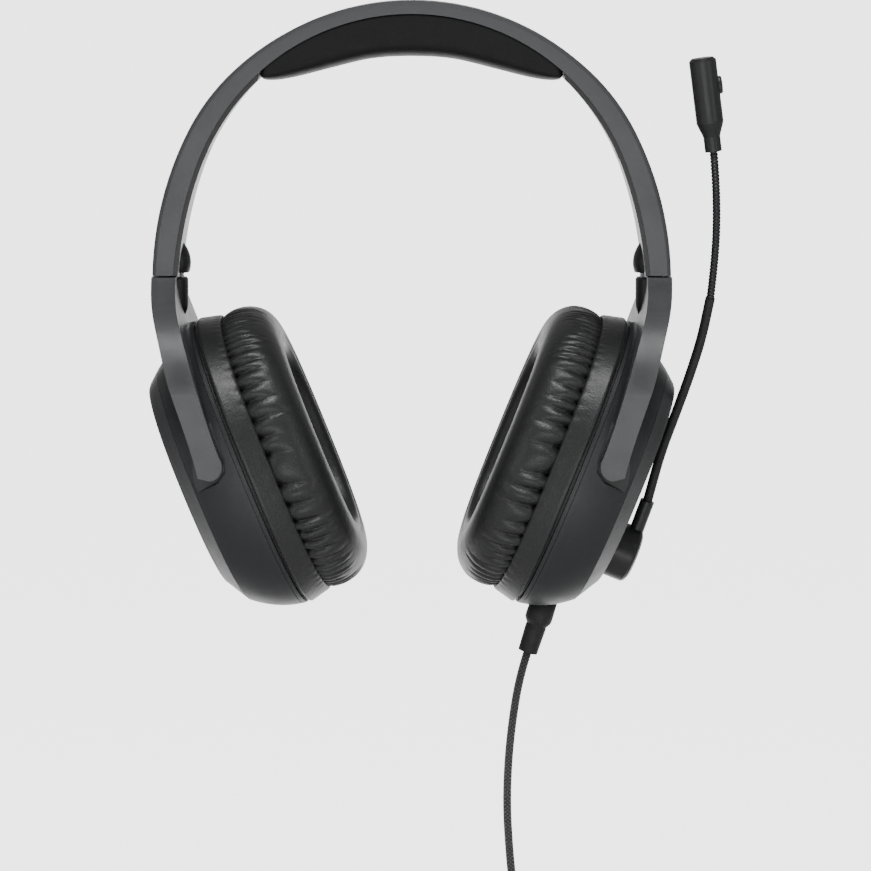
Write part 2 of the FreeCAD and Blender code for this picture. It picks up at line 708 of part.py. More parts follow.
def make_cup_front(name, frame):
    """Trim ring, baffle, driver, cloth and the cushion's plastic ring."""
    tall = dim("cup_half_tall")
    wide = dim("cup_half_wide")
    ring = prism(tall, wide, TRIM_START, TRIM_START + dim("trim_thick"))
    ring = ring.cut(prism(tall - 3.2, wide - 3.2, 0, 3))
    shaped(name + "_trim_ring", ring, frame)
    baffle = prism(tall - 1.7, wide - 1.7, -0.8, 0.1).fuse(prism(tall - 3.4, wide - 3.4, 0.1, 1.5))
    baffle = baffle.cut(cylinder(dim("driver_radius") - 2.5, 9, Vector(0, 0, -4)))
    for up, across in SCREW_SPOTS:
        baffle = baffle.cut(cylinder(dim("screw_radius") + 0.1, 9, Vector(up, across, -4)))
        baffle = baffle.cut(cylinder(HEAD_RADIUS + 0.1, HEAD_THICK + 0.2, Vector(up, across, -1)))
    shaped(name + "_baffle", baffle, frame)
    frame_radius = size("driver_radius")
    corners = [(frame_radius - 3, 1.6), (frame_radius, 1.6), (frame_radius, 4.4), (13.0, 8.0), (9.0, 8.0),
               (9.0, 6.6), (frame_radius - 3, 3.6)]
    turned(name + "_driver_frame", corners, frame)
    corners = [(0, 4.6), (MAGNET_RADIUS, 4.6), (MAGNET_RADIUS, 11.4), (0, 11.4)]
    turned(name + "_driver_magnet", corners, frame)
    shaped(name + "_driver_cloth", prism(CLOTH_HALF_TALL, CLOTH_HALF_WIDE, -3.2, -2.7), frame)
    holder = prism(45.6, 39.4, -2.6, -0.9)
    holder = holder.cut(prism(42.6, 36.4, -1.8, 0.5)).cut(prism(31.0, 24.0, -4, 1))
    shaped(name + "_cushion_ring", holder, frame)
    screws = []
    for up, across in SCREW_SPOTS:
        head = cylinder(HEAD_RADIUS, HEAD_THICK, Vector(up, across, -0.8))
        shank = cylinder(dim("screw_radius") - 0.02, 8.0, Vector(up, across, HEAD_THICK - 0.8))
        screws.append(head.fuse(shank))
    shaped(name + "_cup_screws", Part.makeCompound(screws), frame)


def make_cushion(name, frame):
    """Padded ring with an ear opening, and the flap that grips the cup's front."""
    base = dim("cushion_base")
    crest = dim("cushion_crest")
    tall = dim("cushion_half_tall")
    wide = dim("cushion_half_wide")
    bulge = lofted([(-base, tall - 1.4, -tall + 1.4, wide - 1.4),
                    (-base - 1.6, tall - 0.4, -tall + 0.5, wide - 0.4),
                    (-base - 6.4, tall, -tall, wide),
                    (-crest + 5.0, tall - 1.0, -tall + 1.6, wide - 1.2),
                    (-crest + 1.6, tall - 4.6, -tall + 5.6, wide - 4.8),
                    (-crest, tall - 11.0, -tall + 12.0, wide - 11.0)], 2.5)
    root = prism(tall - 2.8, wide - 2.8, -base - 0.01, -3.3, 2.5)
    hole_tall = dim("ear_hole_half_tall")
    hole_wide = dim("ear_hole_half_wide")
    hole = lofted([(0, hole_tall, -hole_tall, hole_wide),
                   (-crest + 5.0, hole_tall, -hole_tall, hole_wide),
                   (-crest - 1.0, hole_tall + 4.0, -hole_tall - 4.0, hole_wide + 4.0)], 2.4)
    cushion = bulge.fuse(root).cut(hole)
    shaped(name + "_ear_cushion", cushion, frame)
    rim = dim("cup_half_tall")
    side_rim = dim("cup_half_wide")
    flap = lofted([(-0.95, rim - 0.2, -rim + 0.2, side_rim - 0.2),
                   (-4.5, rim, -rim, side_rim),
                   (-base + 0.15, rim - 1.2, -rim + 1.2, side_rim - 1.2)], 2.4)
    room = prism(tall - 2.4, wide - 2.4, -base - 1, 0, 2.5)
    shaped(name + "_cushion_skirt", flap.cut(room), frame)


# ---------------------------------------------------------------- boom microphone
def tube(points, radius):
    """Round tube along straight runs joined by tangent arcs."""
    edges = rounded_path(points)
    wire = Part.Wire(edges)
    first = wire.Edges[0]
    ring = Part.Wire(Part.makeCircle(radius, points[0], first.tangentAt(first.FirstParameter)))
    return wire.makePipeShell([ring], True, False)


def rounded_path(points, report=None):
    """Edges of the path, with each arc as large as its two runs allow."""
    edges = []
    start = points[0]
    for before, corner, after in zip(points, points[1:], points[2:]):
        back = (before - corner)
        ahead = (after - corner)
        shorter = min(back.Length, ahead.Length)
        back.normalize()
        ahead.normalize()
        turn = math.pi - math.acos(max(-1.0, min(1.0, back.dot(ahead))))
        reach = 0.45 * shorter
        radius = reach / math.tan(turn / 2)
        middle = corner + (back + ahead).normalize() * (radius / math.cos(turn / 2) - radius)
        first = corner + back * reach
        last = corner + ahead * reach
        edges.append(Part.LineSegment(start, first).toShape())
        edges.append(Part.Arc(first, middle, last).toShape())
        start = last
        if report is not None:
            report.append(radius)
    edges.append(Part.LineSegment(start, points[-1]).toShape())
    return edges


BOOM_POINTS = [(78.4, -2.2, -148.6), (82.6, -5.8, -131.6), (87.2, -9.4, -118.2),
               (91.4, -12.8, -105.4), (95.0, -16.2, -92.6), (97.4, -19.6, -79.2)]
NECK_JOINTS = [(97.4, -19.6, -79.2), (98.9, -23.2, -56.0), (97.6, -25.9, -31.6)]
MIC_TIP = (93.6, -27.0, -1.8)
JOINT_GAP = 0.9             # between two stiff lengths, so that their edges clear at full bend
AXLE_INNER_END = 13.0       # in the cup's frame
AXLE_HEAD = 1.4
HUB_CHAMFER = 0.6


def make_boom(frame):
    """Hub, axle, socket and the stiff sleeve."""
    face = size("cap_face")
    thick = size("hub_thick")
    radius = size("hub_radius")
    gap = size("free_gap")
    axle = size("axle_radius")
    at_hub = frame.multiply(Placement(Vector(-dim("hub_drop"), 0, 0), Rotation()))
    corners = [(0, face + gap), (radius - HUB_CHAMFER, face + gap), (radius, face + gap + HUB_CHAMFER),
               (radius, face + thick - 1.6), (radius - 0.7, face + thick - 0.7),
               (radius - 2.2, face + thick), (0, face + thick)]
    hub = turned("boom_hub", corners, at_hub)
    head_end = AXLE_INNER_END + AXLE_HEAD
    corners = [(0, AXLE_INNER_END), (axle + 1.2, AXLE_INNER_END), (axle + 1.2, head_end), (axle, head_end),
               (axle, face + gap), (0, face + gap)]
    turned("boom_axle", corners, at_hub)
    doc.recompute()
    start = Vector(*BOOM_POINTS[0])
    middle = frame.multVec(Vector(-dim("hub_drop") + 4.0, 0.5, dim("cap_face") + 7.0))
    way = start - middle
    socket = cylinder(dim("socket_radius"), way.Length, middle, way)
    sleeve = tube([Vector(*point) for point in BOOM_POINTS], dim("sleeve_radius"))
    shaped("boom_socket", socket.cut(hub.Shape).cut(sleeve))
    shaped("boom_sleeve", sleeve)


def neck_piece(label, first, last):
    """A straight length of gooseneck that stops short of both bend points."""
    way = last - first
    way.normalize()
    base = first + way * (JOINT_GAP / 2)
    shaped(label, cylinder(dim("neck_radius"), (last - first).Length - JOINT_GAP, base, way))


COLLAR_RADIUS = 2.75        # of the housing, around the gooseneck
COLLAR_LONG = 4.8
SHOULDER_END = 9.4          # where the housing reaches its full width
CAPSULE_RADIUS = 3.2
CAPSULE_DEEP = 9.0          # the housing's bore, from its open end


def make_microphone():
    joints = [Vector(*point) for point in NECK_JOINTS]
    neck_piece("gooseneck_lower", joints[0], joints[1])
    neck_piece("gooseneck_upper", joints[1], joints[2])
    way = Vector(*MIC_TIP) - joints[2]
    base = joints[2] + way * (JOINT_GAP / 2 / way.Length)
    at_mic = Placement(base, Rotation(Vector(0, 0, 1), way))
    radius = size("mic_radius")
    body_top = size("mic_long") + SHOULDER_END
    bore = CAPSULE_RADIUS + 0.2
    corners = [(0, 0), (COLLAR_RADIUS, 0), (COLLAR_RADIUS, COLLAR_LONG),
               (COLLAR_RADIUS + 0.4, COLLAR_LONG + 1.2), (radius - 0.4, SHOULDER_END - 1.2),
               (radius, SHOULDER_END), (radius, body_top),
               (bore, body_top), (bore, body_top - CAPSULE_DEEP), (0, body_top - CAPSULE_DEEP)]
    turned("mic_housing", corners, at_mic)
    corners = [(0, body_top), (radius, body_top), (radius, body_top + 0.7), (radius - 0.9, body_top + 1.6),
               (0, body_top + 1.6)]
    turned("mic_tip_cap", corners, at_mic)
    low = body_top - CAPSULE_DEEP + 0.1
    high = body_top - 3.0
    turned("mic_element", [(0, low), (CAPSULE_RADIUS, low), (CAPSULE_RADIUS, high), (0, high)], at_mic)


# ---------------------------------------------------------------- cable
CABLE_LEAN = 17.6
BOOT_TOP = (44.3, 0.0, -182.4)
BOOT_LONG = 18.6
GROMMET_RADIUS = 4.0        # in the cup's wall
GROMMET_COLLAR = 4.7        # below it
GROMMET_END = 8.0
TIE_ANGLE = 115.0           # round the coil, in degrees
TIE_LONG = 8.0
PLUG_BODY_LONG = 25.0
CABLE_POINTS = [(38.68, 0.0, -200.13), (36.2, 0.0, -208.0), (33.9, 0.2, -221.5), (32.3, -0.3, -236.5),
                (31.8, -0.2, -252.0), (32.5, 0.3, -265.0), (33.5, 0.0, -276.5), (33.9, 0.0, -284.0)]
COIL_CENTRE = (33.5, 0.0, -306.0)
PLUG_TOP = (57.3, 0.0, -312.0)


def boot_frame():
    """Placement at the cup's cable hole, with Z along the cable."""
    lean = math.radians(CABLE_LEAN)
    way = Vector(-math.sin(lean), 0, -math.cos(lean))
    return Placement(Vector(*BOOT_TOP), Rotation(Vector(0, 0, 1), way))


def cable_bore():
    """Hole for the cable's grommet, in the left cup's frame."""
    bore = cylinder(GROMMET_RADIUS + 0.05, 16.0, Vector(0, 0, -7.0))
    bore.Placement = cup_frame(1).inverse().multiply(boot_frame())
    return bore


def make_coil():
    coil = doc.addObject("Part::Torus", "cable_coil")
    bind(coil, "Radius1", size("coil_radius"))
    bind(coil, "Radius2", size("coil_bundle_radius"))
    keep(coil, "cable_coil", Placement(Vector(*COIL_CENTRE), Rotation(Vector(1, 0, 0), 90)))
    doc.recompute()
    return coil.Shape


def make_cable():
    at_boot = boot_frame()
    corners = [(0, -5.5), (5.2, -5.5), (5.2, -4.2), (GROMMET_RADIUS, -4.2), (GROMMET_RADIUS, 2.2),
               (GROMMET_COLLAR, 2.2), (GROMMET_COLLAR, 6.9), (3.6, GROMMET_END), (0, GROMMET_END)]
    turned("cable_grommet", corners, at_boot)
    corners = [(0, GROMMET_END), (3.45, GROMMET_END), (3.1, BOOT_LONG), (0, BOOT_LONG)]
    turned("cable_boot", corners, at_boot)
    coil = make_coil()
    radius = dim("cable_diameter") / 2
    radii = []
    points = [Vector(*point) for point in CABLE_POINTS]
    path = Part.Wire(rounded_path(points, radii))
    run = tube(points, radius)
    print("cable arcs:", [round(value, 1) for value in radii])
    print("cable run: volume %.1f, section x length %.1f" % (run.Volume, math.pi * radius ** 2 * path.Length))
    shaped("cable_run", run.cut(coil))
    lean = math.radians(TIE_ANGLE)
    spot = Vector(*COIL_CENTRE) + Vector(math.cos(lean), 0, math.sin(lean)) * dim("coil_radius")
    along = Vector(-math.sin(lean), 0, math.cos(lean))
    tie_start = spot - along * (TIE_LONG / 2)
    tie = cylinder(dim("coil_bundle_radius") + 0.9, TIE_LONG, tie_start, along)
    tie = tie.cut(cylinder(dim("coil_bundle_radius") + 0.05, TIE_LONG, tie_start, along)).cut(coil).cut(run)
    shaped("cable_tie", tie)
    at_plug = Placement(Vector(*PLUG_TOP), Rotation(Vector(1, 0, 0), 180))
    body_radius = size("plug_body_radius")
    pin_radius = size("plug_pin_radius")
    end = PLUG_BODY_LONG
    corners = [(0, 0), (1.9, 0), (2.6, 9.0), (body_radius, 9.8), (body_radius, end - 0.6),
               (body_radius - 0.6, end), (0, end)]
    turned("plug_body", corners, at_plug)
    tip = size("plug_pin_long") + end
    corners = [(0, end), (pin_radius, end), (pin_radius, tip - 3.4), (pin_radius - 0.5, tip - 2.6),
               (pin_radius - 0.3, tip - 1.6), (0.5, tip), (0, tip)]
    turned("plug_pin", corners, at_plug)


def make_board(frame):
    """Circuit board that joins the microphone, the cable and the speakers."""
    board = doc.addObject("Part::Box", "audio_board")
    bind(board, "Length", size("board_tall"))
    bind(board, "Width", size("board_wide"))
    bind(board, "Height", size("board_thick"))
    corner = Placement(Vector(12.5, -dim("board_wide") / 2, 13.2), Rotation())
    keep(board, "audio_board", frame.multiply(corner))


# ---------------------------------------------------------------- assembly
make_headband()
make_head_pad()
shaped("headband_screws", Part.makeCompound([headband_screws(sign) for sign in SIDES.values()]))
for side_name, side_sign in SIDES.items():
    cup_place = cup_frame(side_sign)
    make_slider(side_name, side_sign)
    make_yoke(side_name, side_sign)
    make_cup_shell(side_name, cup_place)
    make_cup_cap(side_name, cup_place)
    make_cup_front(side_name, cup_place)
    make_cushion(side_name, cup_place)
make_board(cup_frame(1))
make_boom(cup_frame(1))
make_microphone()
make_cable()

doc.recompute()
for item in doc.Objects:
    if "Invalid" in item.State or "Error" in item.State:
        raise RuntimeError("%s did not recompute: %s" % (item.Name, item.State))
for item in sub_parts:
    if item.Shape.isNull() or not item.Shape.isValid():
        raise RuntimeError(item.Label + " has no valid shape")
    print("%-22s volume %9.1f  solids %d" % (item.Label, item.Shape.Volume, len(item.Shape.Solids)))
    item.Shape.exportStep("parts/%s.step" % item.Label)
print(len(sub_parts), "sub-parts")
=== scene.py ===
"""Looks of the wired gaming headset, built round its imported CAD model, in metres."""
import json
import math
import random

import bmesh
import bpy
import numpy as np
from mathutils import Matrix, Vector


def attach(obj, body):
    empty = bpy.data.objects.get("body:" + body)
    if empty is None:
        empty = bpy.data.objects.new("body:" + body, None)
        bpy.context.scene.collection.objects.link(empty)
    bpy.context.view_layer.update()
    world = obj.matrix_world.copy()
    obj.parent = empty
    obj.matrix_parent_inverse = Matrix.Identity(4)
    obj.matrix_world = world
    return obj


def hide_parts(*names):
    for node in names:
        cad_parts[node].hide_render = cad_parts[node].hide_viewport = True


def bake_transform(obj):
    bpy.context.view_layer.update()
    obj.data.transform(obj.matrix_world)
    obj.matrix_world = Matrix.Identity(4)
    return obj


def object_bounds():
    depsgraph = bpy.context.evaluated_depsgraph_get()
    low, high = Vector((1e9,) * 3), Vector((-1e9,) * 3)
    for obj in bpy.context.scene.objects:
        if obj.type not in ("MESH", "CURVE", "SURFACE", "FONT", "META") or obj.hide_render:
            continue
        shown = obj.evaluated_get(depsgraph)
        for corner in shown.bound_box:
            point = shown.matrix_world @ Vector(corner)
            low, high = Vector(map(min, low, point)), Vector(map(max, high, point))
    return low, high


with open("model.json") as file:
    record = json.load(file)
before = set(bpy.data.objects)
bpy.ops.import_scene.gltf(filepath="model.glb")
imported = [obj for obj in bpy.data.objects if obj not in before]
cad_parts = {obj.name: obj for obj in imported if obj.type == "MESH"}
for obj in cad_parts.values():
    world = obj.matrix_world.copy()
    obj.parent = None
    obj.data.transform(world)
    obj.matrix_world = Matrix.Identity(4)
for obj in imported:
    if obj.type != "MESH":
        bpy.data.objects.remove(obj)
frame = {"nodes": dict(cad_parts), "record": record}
cad_low, cad_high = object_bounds()
MM = 0.001                  # outlines and routes are in mm, as the CAD is
SIDES = {"left": 1, "right": -1}


# ---------------------------------------------------------------- camera
SENSOR_WIDTH = 36.0         # mm, as the lens is
LENS = 155.2
CAMERA_PLACE = (0.0078, -1.2396, 0.034)
CAMERA_PITCH = 7.4          # degrees down
VIEW_END = 100.0


def make_camera():
    """A long lens a little above the crown, turned slightly down."""
    data = bpy.data.cameras.new("front_camera")
    data.sensor_width = SENSOR_WIDTH
    data.lens = LENS
    data.clip_end = VIEW_END
    camera = bpy.data.objects.new("front_camera", data)
    camera.location = CAMERA_PLACE
    camera.rotation_euler = (math.radians(90 - CAMERA_PITCH), 0, 0)
    bpy.context.scene.collection.objects.link(camera)
    bpy.context.scene.camera = camera


# ---------------------------------------------------------------- node helpers
MIX_FACTOR, MIX_FIRST, MIX_SECOND, MIX_RESULT = 0, 6, 7, 2      # a colour mix's sockets
EDGE_FLAT, EDGE_HIGHLIGHTED = 0.52, 0.62     # pointiness of a nearly flat face and of an edge with the full painted highlight


class Tree:
    """Short calls that add nodes to the node tree of a material or of the world."""

    def __init__(self, node_tree):
        self.nodes = node_tree.nodes
        self.links = node_tree.links

    def node(self, kind, **settings):
        made = self.nodes.new(kind)
        for field, value in settings.items():
            setattr(made, field, value)
        return made

    def eased(self, value, none, whole):
        """0 where value is none, 1 where it is whole, and smooth between them."""
        made = self.node("ShaderNodeMapRange", interpolation_type="SMOOTHSTEP")
        made.inputs["From Min"].default_value = none
        made.inputs["From Max"].default_value = whole
        self.links.new(value, made.inputs["Value"])
        return made.outputs["Result"]

    def math(self, operation, first, second):
        made = self.node("ShaderNodeMath", operation=operation)
        for index, value in enumerate((first, second)):
            if isinstance(value, (int, float)):
                made.inputs[index].default_value = value
            else:
                self.links.new(value, made.inputs[index])
        return made.outputs["Value"]

    def split(self, source):
        """X, Y and Z of one of the texture coordinates."""
        place = self.node("ShaderNodeTexCoord")
        made = self.node("ShaderNodeSeparateXYZ")
        self.links.new(place.outputs[source], made.inputs["Vector"])
        return made.outputs["X"], made.outputs["Y"], made.outputs["Z"]


class Paint(Tree):
    """A material with a Principled shader, and short calls for the nodes that feed it."""

    def __init__(self, name, colour, roughness, metallic=0.0, **sockets):
        self.material = bpy.data.materials.new(name)
        self.material.use_nodes = True
        super().__init__(self.material.node_tree)
        self.shader = self.nodes["Principled BSDF"]
        self.shader.inputs["Base Color"].default_value = (*colour, 1)
        self.shader.inputs["Roughness"].default_value = roughness
        self.shader.inputs["Metallic"].default_value = metallic
        for socket, value in sockets.items():
            self.shader.inputs[socket.replace("_", " ")].default_value = value
        self.colour = colour
        self.roughness = roughness
        self.relief = None

    def coordinates(self, scale=(1, 1, 1)):
        place = self.node("ShaderNodeTexCoord")
        mapping = self.node("ShaderNodeMapping")
        mapping.inputs["Scale"].default_value = scale
        self.links.new(place.outputs["Object"], mapping.inputs["Vector"])
        return mapping.outputs["Vector"]

    def noise(self, scale, detail=3.0, vector=None):
        made = self.node("ShaderNodeTexNoise")
        made.inputs["Scale"].default_value = scale
        made.inputs["Detail"].default_value = detail
        self.links.new(vector or self.coordinates(), made.inputs["Vector"])
        return made.outputs["Fac"]

    def cells(self, scale):
        made = self.node("ShaderNodeTexVoronoi")
        made.inputs["Scale"].default_value = scale
        self.links.new(self.coordinates(), made.inputs["Vector"])
        return made.outputs["Distance"]

    def vary_colour(self, value, spread):
        """Base colour runs from darker to lighter by that share, with value."""
        ramp = self.node("ShaderNodeValToRGB")
        for element, share in zip(ramp.color_ramp.elements, (1 - spread, 1 + spread)):
            element.color = (*[part * share for part in self.colour], 1)
        self.links.new(value, ramp.inputs["Fac"])
        self.links.new(ramp.outputs["Color"], self.shader.inputs["Base Color"])

    def vary_roughness(self, value, spread):
        made = self.node("ShaderNodeMapRange")
        made.inputs["To Min"].default_value = self.roughness - spread
        made.inputs["To Max"].default_value = self.roughness + spread
        self.links.new(value, made.inputs["Value"])
        self.links.new(made.outputs["Result"], self.shader.inputs["Roughness"])

    def bump(self, value, strength, distance):
        """Adds relief on top of what is there."""
        made = self.node("ShaderNodeBump")
        made.inputs["Strength"].default_value = strength
        made.inputs["Distance"].default_value = distance
        self.links.new(value, made.inputs["Height"])
        if self.relief is not None:
            self.links.new(self.relief, made.inputs["Normal"])
        self.relief = made.outputs["Normal"]
        self.links.new(self.relief, self.shader.inputs["Normal"])

    def painted_edge_highlight(self, lighter):
        """Painted highlight: convex edges are a little lighter in colour."""
        shape = self.node("ShaderNodeNewGeometry")
        edge = self.node("ShaderNodeMapRange")
        edge.inputs["From Min"].default_value = EDGE_FLAT
        edge.inputs["From Max"].default_value = EDGE_HIGHLIGHTED
        self.links.new(shape.outputs["Pointiness"], edge.inputs["Value"])
        mix = self.node("ShaderNodeMix", data_type="RGBA")
        source = self.shader.inputs["Base Color"].links[0].from_socket
        self.links.new(edge.outputs["Result"], mix.inputs[MIX_FACTOR])
        self.links.new(source, mix.inputs[MIX_FIRST])
        mix.inputs[MIX_SECOND].default_value = (*[part * lighter for part in self.colour], 1)
        self.links.new(mix.outputs[MIX_RESULT], self.shader.inputs["Base Color"])


# ---------------------------------------------------------------- materials
def moulded(name, colour, roughness, grain=0.35):
    """Moulded plastic: spark-eroded grain, faint flow clouds and a painted highlight along convex edges.
    """
    paint = Paint(name, colour, roughness, Specular_IOR_Level=0.34)
    paint.vary_colour(paint.noise(scale=38.0, detail=4.0), spread=0.14)
    paint.vary_roughness(paint.noise(scale=150.0, detail=5.0), spread=0.07)
    paint.bump(paint.noise(scale=5200.0, detail=2.0), strength=grain, distance=0.00006)
    paint.bump(paint.noise(scale=2100.0, detail=3.0), strength=grain * 0.6, distance=0.00008)
    # painted highlight: convex edges are lighter in colour
    paint.painted_edge_highlight(lighter=1.6)
    return paint.material


def leatherette(name, colour, roughness, specular):
    """Soft coated cloth: pebbled cells, fine creases and a slightly uneven gloss."""
    paint = Paint(name, colour, roughness, Sheen_Weight=0.03, Sheen_Roughness=0.5,
                  Specular_IOR_Level=specular)
    paint.vary_colour(paint.noise(scale=60.0, detail=4.0), spread=0.22)
    paint.vary_roughness(paint.noise(scale=240.0, detail=4.0), spread=0.08)
    paint.bump(paint.cells(scale=1350.0), strength=0.32, distance=0.00012)
    paint.bump(paint.noise(scale=420.0, detail=6.0), strength=0.3, distance=0.0003)
    return paint.material


WAVE_TURN = 20.0            # radians that a wave texture at scale 1 turns in a metre


def woven(name, colour, thread_spacing):
    """Open speaker cloth: two crossing families of threads."""
    paint = Paint(name, colour, 0.85, Sheen_Weight=0.2)
    bands = []
    for direction in ("X", "Z"):
        wave = paint.node("ShaderNodeTexWave", bands_direction=direction, wave_profile="SIN")
        wave.inputs["Scale"].default_value = 2 * math.pi / thread_spacing / WAVE_TURN
        wave.inputs["Distortion"].default_value = 0.3
        paint.links.new(paint.coordinates(), wave.inputs["Vector"])
        bands.append(wave.outputs["Fac"])
    weave = paint.math("MULTIPLY", bands[0], bands[1])
    paint.vary_colour(weave, spread=0.6)
    paint.bump(weave, strength=0.7, distance=0.00025)
    return paint.material


BRAID_STRANDS = 6           # strands of one family, counted round the cable
BRAID_SPACING = 0.0013      # from a strand to the next, along the cable


def braided(name, colour):
    """Braid: two families of strands that cross, one turning each way round the cable, with painted shade
    in the grooves between strands and a painted highlight on their crowns.
    """
    paint = Paint(name, colour, 0.62, Sheen_Weight=0.25, Sheen_Roughness=0.4)
    around, along = paint.split("UV")[:2]
    families = []
    for way in (1, -1):
        turn = paint.math("MULTIPLY", around, BRAID_STRANDS)
        run = paint.math("MULTIPLY", along, way / BRAID_SPACING)
        angle = paint.math("MULTIPLY", paint.math("ADD", turn, run), math.pi)
        families.append(paint.math("ABSOLUTE", paint.math("SINE", angle, 0), 0))
    weave = paint.math("MULTIPLY", families[0], families[1])
    # painted shade and highlight: colour darkest in the grooves between strands, lightest on their crowns
    paint.vary_colour(weave, spread=0.95)
    paint.bump(weave, strength=1.0, distance=0.0003)
    paint.bump(paint.noise(scale=9000.0, detail=2.0), strength=0.2, distance=0.00004)
    return paint.material


def metal(name, colour, roughness, brushed=0.12):
    """Metal with fine streaks and a slightly uneven tone."""
    paint = Paint(name, colour, roughness, metallic=1.0)
    paint.vary_colour(paint.noise(scale=90.0, detail=3.0), spread=0.08)
    streaks = paint.noise(scale=900.0, detail=2.0, vector=paint.coordinates((1, 1, 12)))
    paint.vary_roughness(streaks, spread=min(0.08, roughness / 2))
    paint.bump(streaks, strength=brushed, distance=0.00002)
    return paint.material


def rubber(name, colour):
    """Soft matt rubber with a fine tooth."""
    paint = Paint(name, colour, 0.6, Specular_IOR_Level=0.4)
    paint.vary_colour(paint.noise(scale=70.0, detail=3.0), spread=0.16)
    paint.vary_roughness(paint.noise(scale=300.0, detail=3.0), spread=0.08)
    paint.bump(paint.noise(scale=3200.0, detail=3.0), strength=0.25, distance=0.00006)
    return paint.material


def solder_mask(name):
    """Green coating of a circuit board, mottled by the copper under it."""
    paint = Paint(name, (0.012, 0.09, 0.04), 0.35)
    paint.vary_colour(paint.cells(scale=420.0), spread=0.4)
    paint.vary_roughness(paint.noise(scale=500.0), spread=0.08)
    paint.bump(paint.cells(scale=800.0), strength=0.3, distance=0.0001)
    return paint.material


MATERIALS = {
    "satin_plastic": moulded("satin_plastic", (0.033, 0.0343, 0.0363), 0.42),
    "cup_plastic": moulded("cup_plastic", (0.0115, 0.0123, 0.0136), 0.46),
    "dark_plastic": moulded("dark_plastic", (0.009, 0.0093, 0.0098), 0.38),
    "inner_plastic": moulded("inner_plastic", (0.02, 0.02, 0.021), 0.5, grain=0.2),
    "steel": metal("steel", (0.5, 0.51, 0.52), 0.3),
    "magnet": metal("magnet", (0.36, 0.36, 0.37), 0.35),
    "wire_jacket": rubber("wire_jacket", (0.015, 0.015, 0.016)),
    "pad_leatherette": leatherette("pad_leatherette", (0.003, 0.0031, 0.0033), 0.58, specular=0.2),
    "leatherette": leatherette("leatherette", (0.0085, 0.0088, 0.0092), 0.43, specular=0.4),
    "speaker_cloth": woven("speaker_cloth", (0.016, 0.016, 0.017), thread_spacing=0.0034907),
    "board": solder_mask("board"),
    "rubber": rubber("rubber", (0.007, 0.0072, 0.0075)),
    "gooseneck_metal": metal("gooseneck_metal", (0.04, 0.041, 0.043), 0.36),
    "braid": braided("braid", (0.035, 0.0355, 0.037)),
    "plug_metal": metal("plug_metal", (0.75, 0.66, 0.46), 0.18, brushed=0.05),
}


def paint_cad_nodes():
    """Every CAD node gets the finish of the slot that the record gives it."""
    for entry in frame["record"]["subparts"]:
        node = frame["nodes"][entry["node"]]
        node.data.materials.clear()
        node.data.materials.append(MATERIALS[entry["material_slot"]])


# ---------------------------------------------------------------- mesh helpers
ASIDE = (0.0, 1.0, 0.2)     # a direction that no tube's path starts along


def finish_piece(piece, slot, body):
    """Smooth shading, the slot's material and the body that it moves with, if it has one."""
    for face in piece.data.polygons:
        face.use_smooth = True
    piece.data.materials.append(MATERIALS[slot])
    if body:
        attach(piece, body)
    return piece


def grid_piece(name, rows, slot, body, closed_rows=True, uv=None):
    """Mesh from rows of points, each row a closed loop. closed_rows joins the last row to the
    first, and without it the two end rows are capped. uv gives each row's place along the piece."""
    rows = np.asarray(rows, float)
    count, across = rows.shape[:2]
    faces = []
    places = []
    for row in range(count if closed_rows else count - 1):
        for spot in range(across):
            corners = ((row, spot), (row + 1, spot), (row + 1, spot + 1), (row, spot + 1))
            faces.append(tuple(down % count * across + over % across for down, over in corners))
            places.append(corners)
    if not closed_rows:
        faces.append(tuple(range(across)))
        faces.append(tuple((count - 1) * across + spot for spot in reversed(range(across))))
    mesh = bpy.data.meshes.new(name)
    mesh.from_pydata([tuple(point) for point in rows.reshape(-1, 3)], [], faces)
    if uv is not None:
        layer = mesh.uv_layers.new(name="along")
        for face, corners in zip(mesh.polygons, places):
            for loop, (row, spot) in zip(face.loop_indices, corners):
                layer.data[loop].uv = (spot / across, uv[min(row, count - 1)])
    mesh.update()
    face_outward(mesh)
    piece = bpy.data.objects.new(name, mesh)
    bpy.context.scene.collection.objects.link(piece)
    return finish_piece(piece, slot, body)


def face_outward(mesh):
    work = bmesh.new()
    work.from_mesh(mesh)
    bmesh.ops.recalc_face_normals(work, faces=work.faces)
    work.to_mesh(mesh)
    work.free()


def round_angles(count):
    """That many angles, evenly once round."""
    return np.array([2 * math.pi * step / count for step in range(count)])


def rounded(value, power):
    return np.sign(value) * np.abs(value) ** power


def through(points, steps, closed=False):
    """Smooth line through points, a Catmull-Rom curve, with steps samples from each to the next."""
    points = np.asarray(points, float)
    count = len(points)
    found = []
    for index in range(count if closed else count - 1):
        if closed:
            near = [points[(index + shift) % count] for shift in (-1, 0, 1, 2)]
        else:
            near = [points[min(max(index + shift, 0), count - 1)] for shift in (-1, 0, 1, 2)]
        for step in range(steps):
            t = step / steps
            found.append(0.5 * (2 * near[1] + (near[2] - near[0]) * t
                                + (2 * near[0] - 5 * near[1] + 4 * near[2] - near[3]) * t ** 2
                                + (3 * near[1] - near[0] - 3 * near[2] + near[3]) * t ** 3))
    if not closed:
        found.append(points[-1])
    return np.array(found)


def lengths_along(path):
    """How far along the path each of its points is."""
    steps = np.linalg.norm(np.diff(path, axis=0), axis=1)
    return np.concatenate([[0.0], np.cumsum(steps)])


def tube_rings(path, radii, sides):
    """Rings of points round a path, which don't twist."""
    ways = np.gradient(path, axis=0)
    ways /= np.linalg.norm(ways, axis=1)[:, None]
    side = np.cross(ways[0], ASIDE)
    side /= np.linalg.norm(side)
    rings = []
    for point, way, radius in zip(path, ways, radii):
        side = side - way * side.dot(way)
        side /= np.linalg.norm(side)
        other = np.cross(way, side)
        rings.append([point + radius * (math.cos(angle) * side + math.sin(angle) * other)
                      for angle in round_angles(sides)])
    return rings


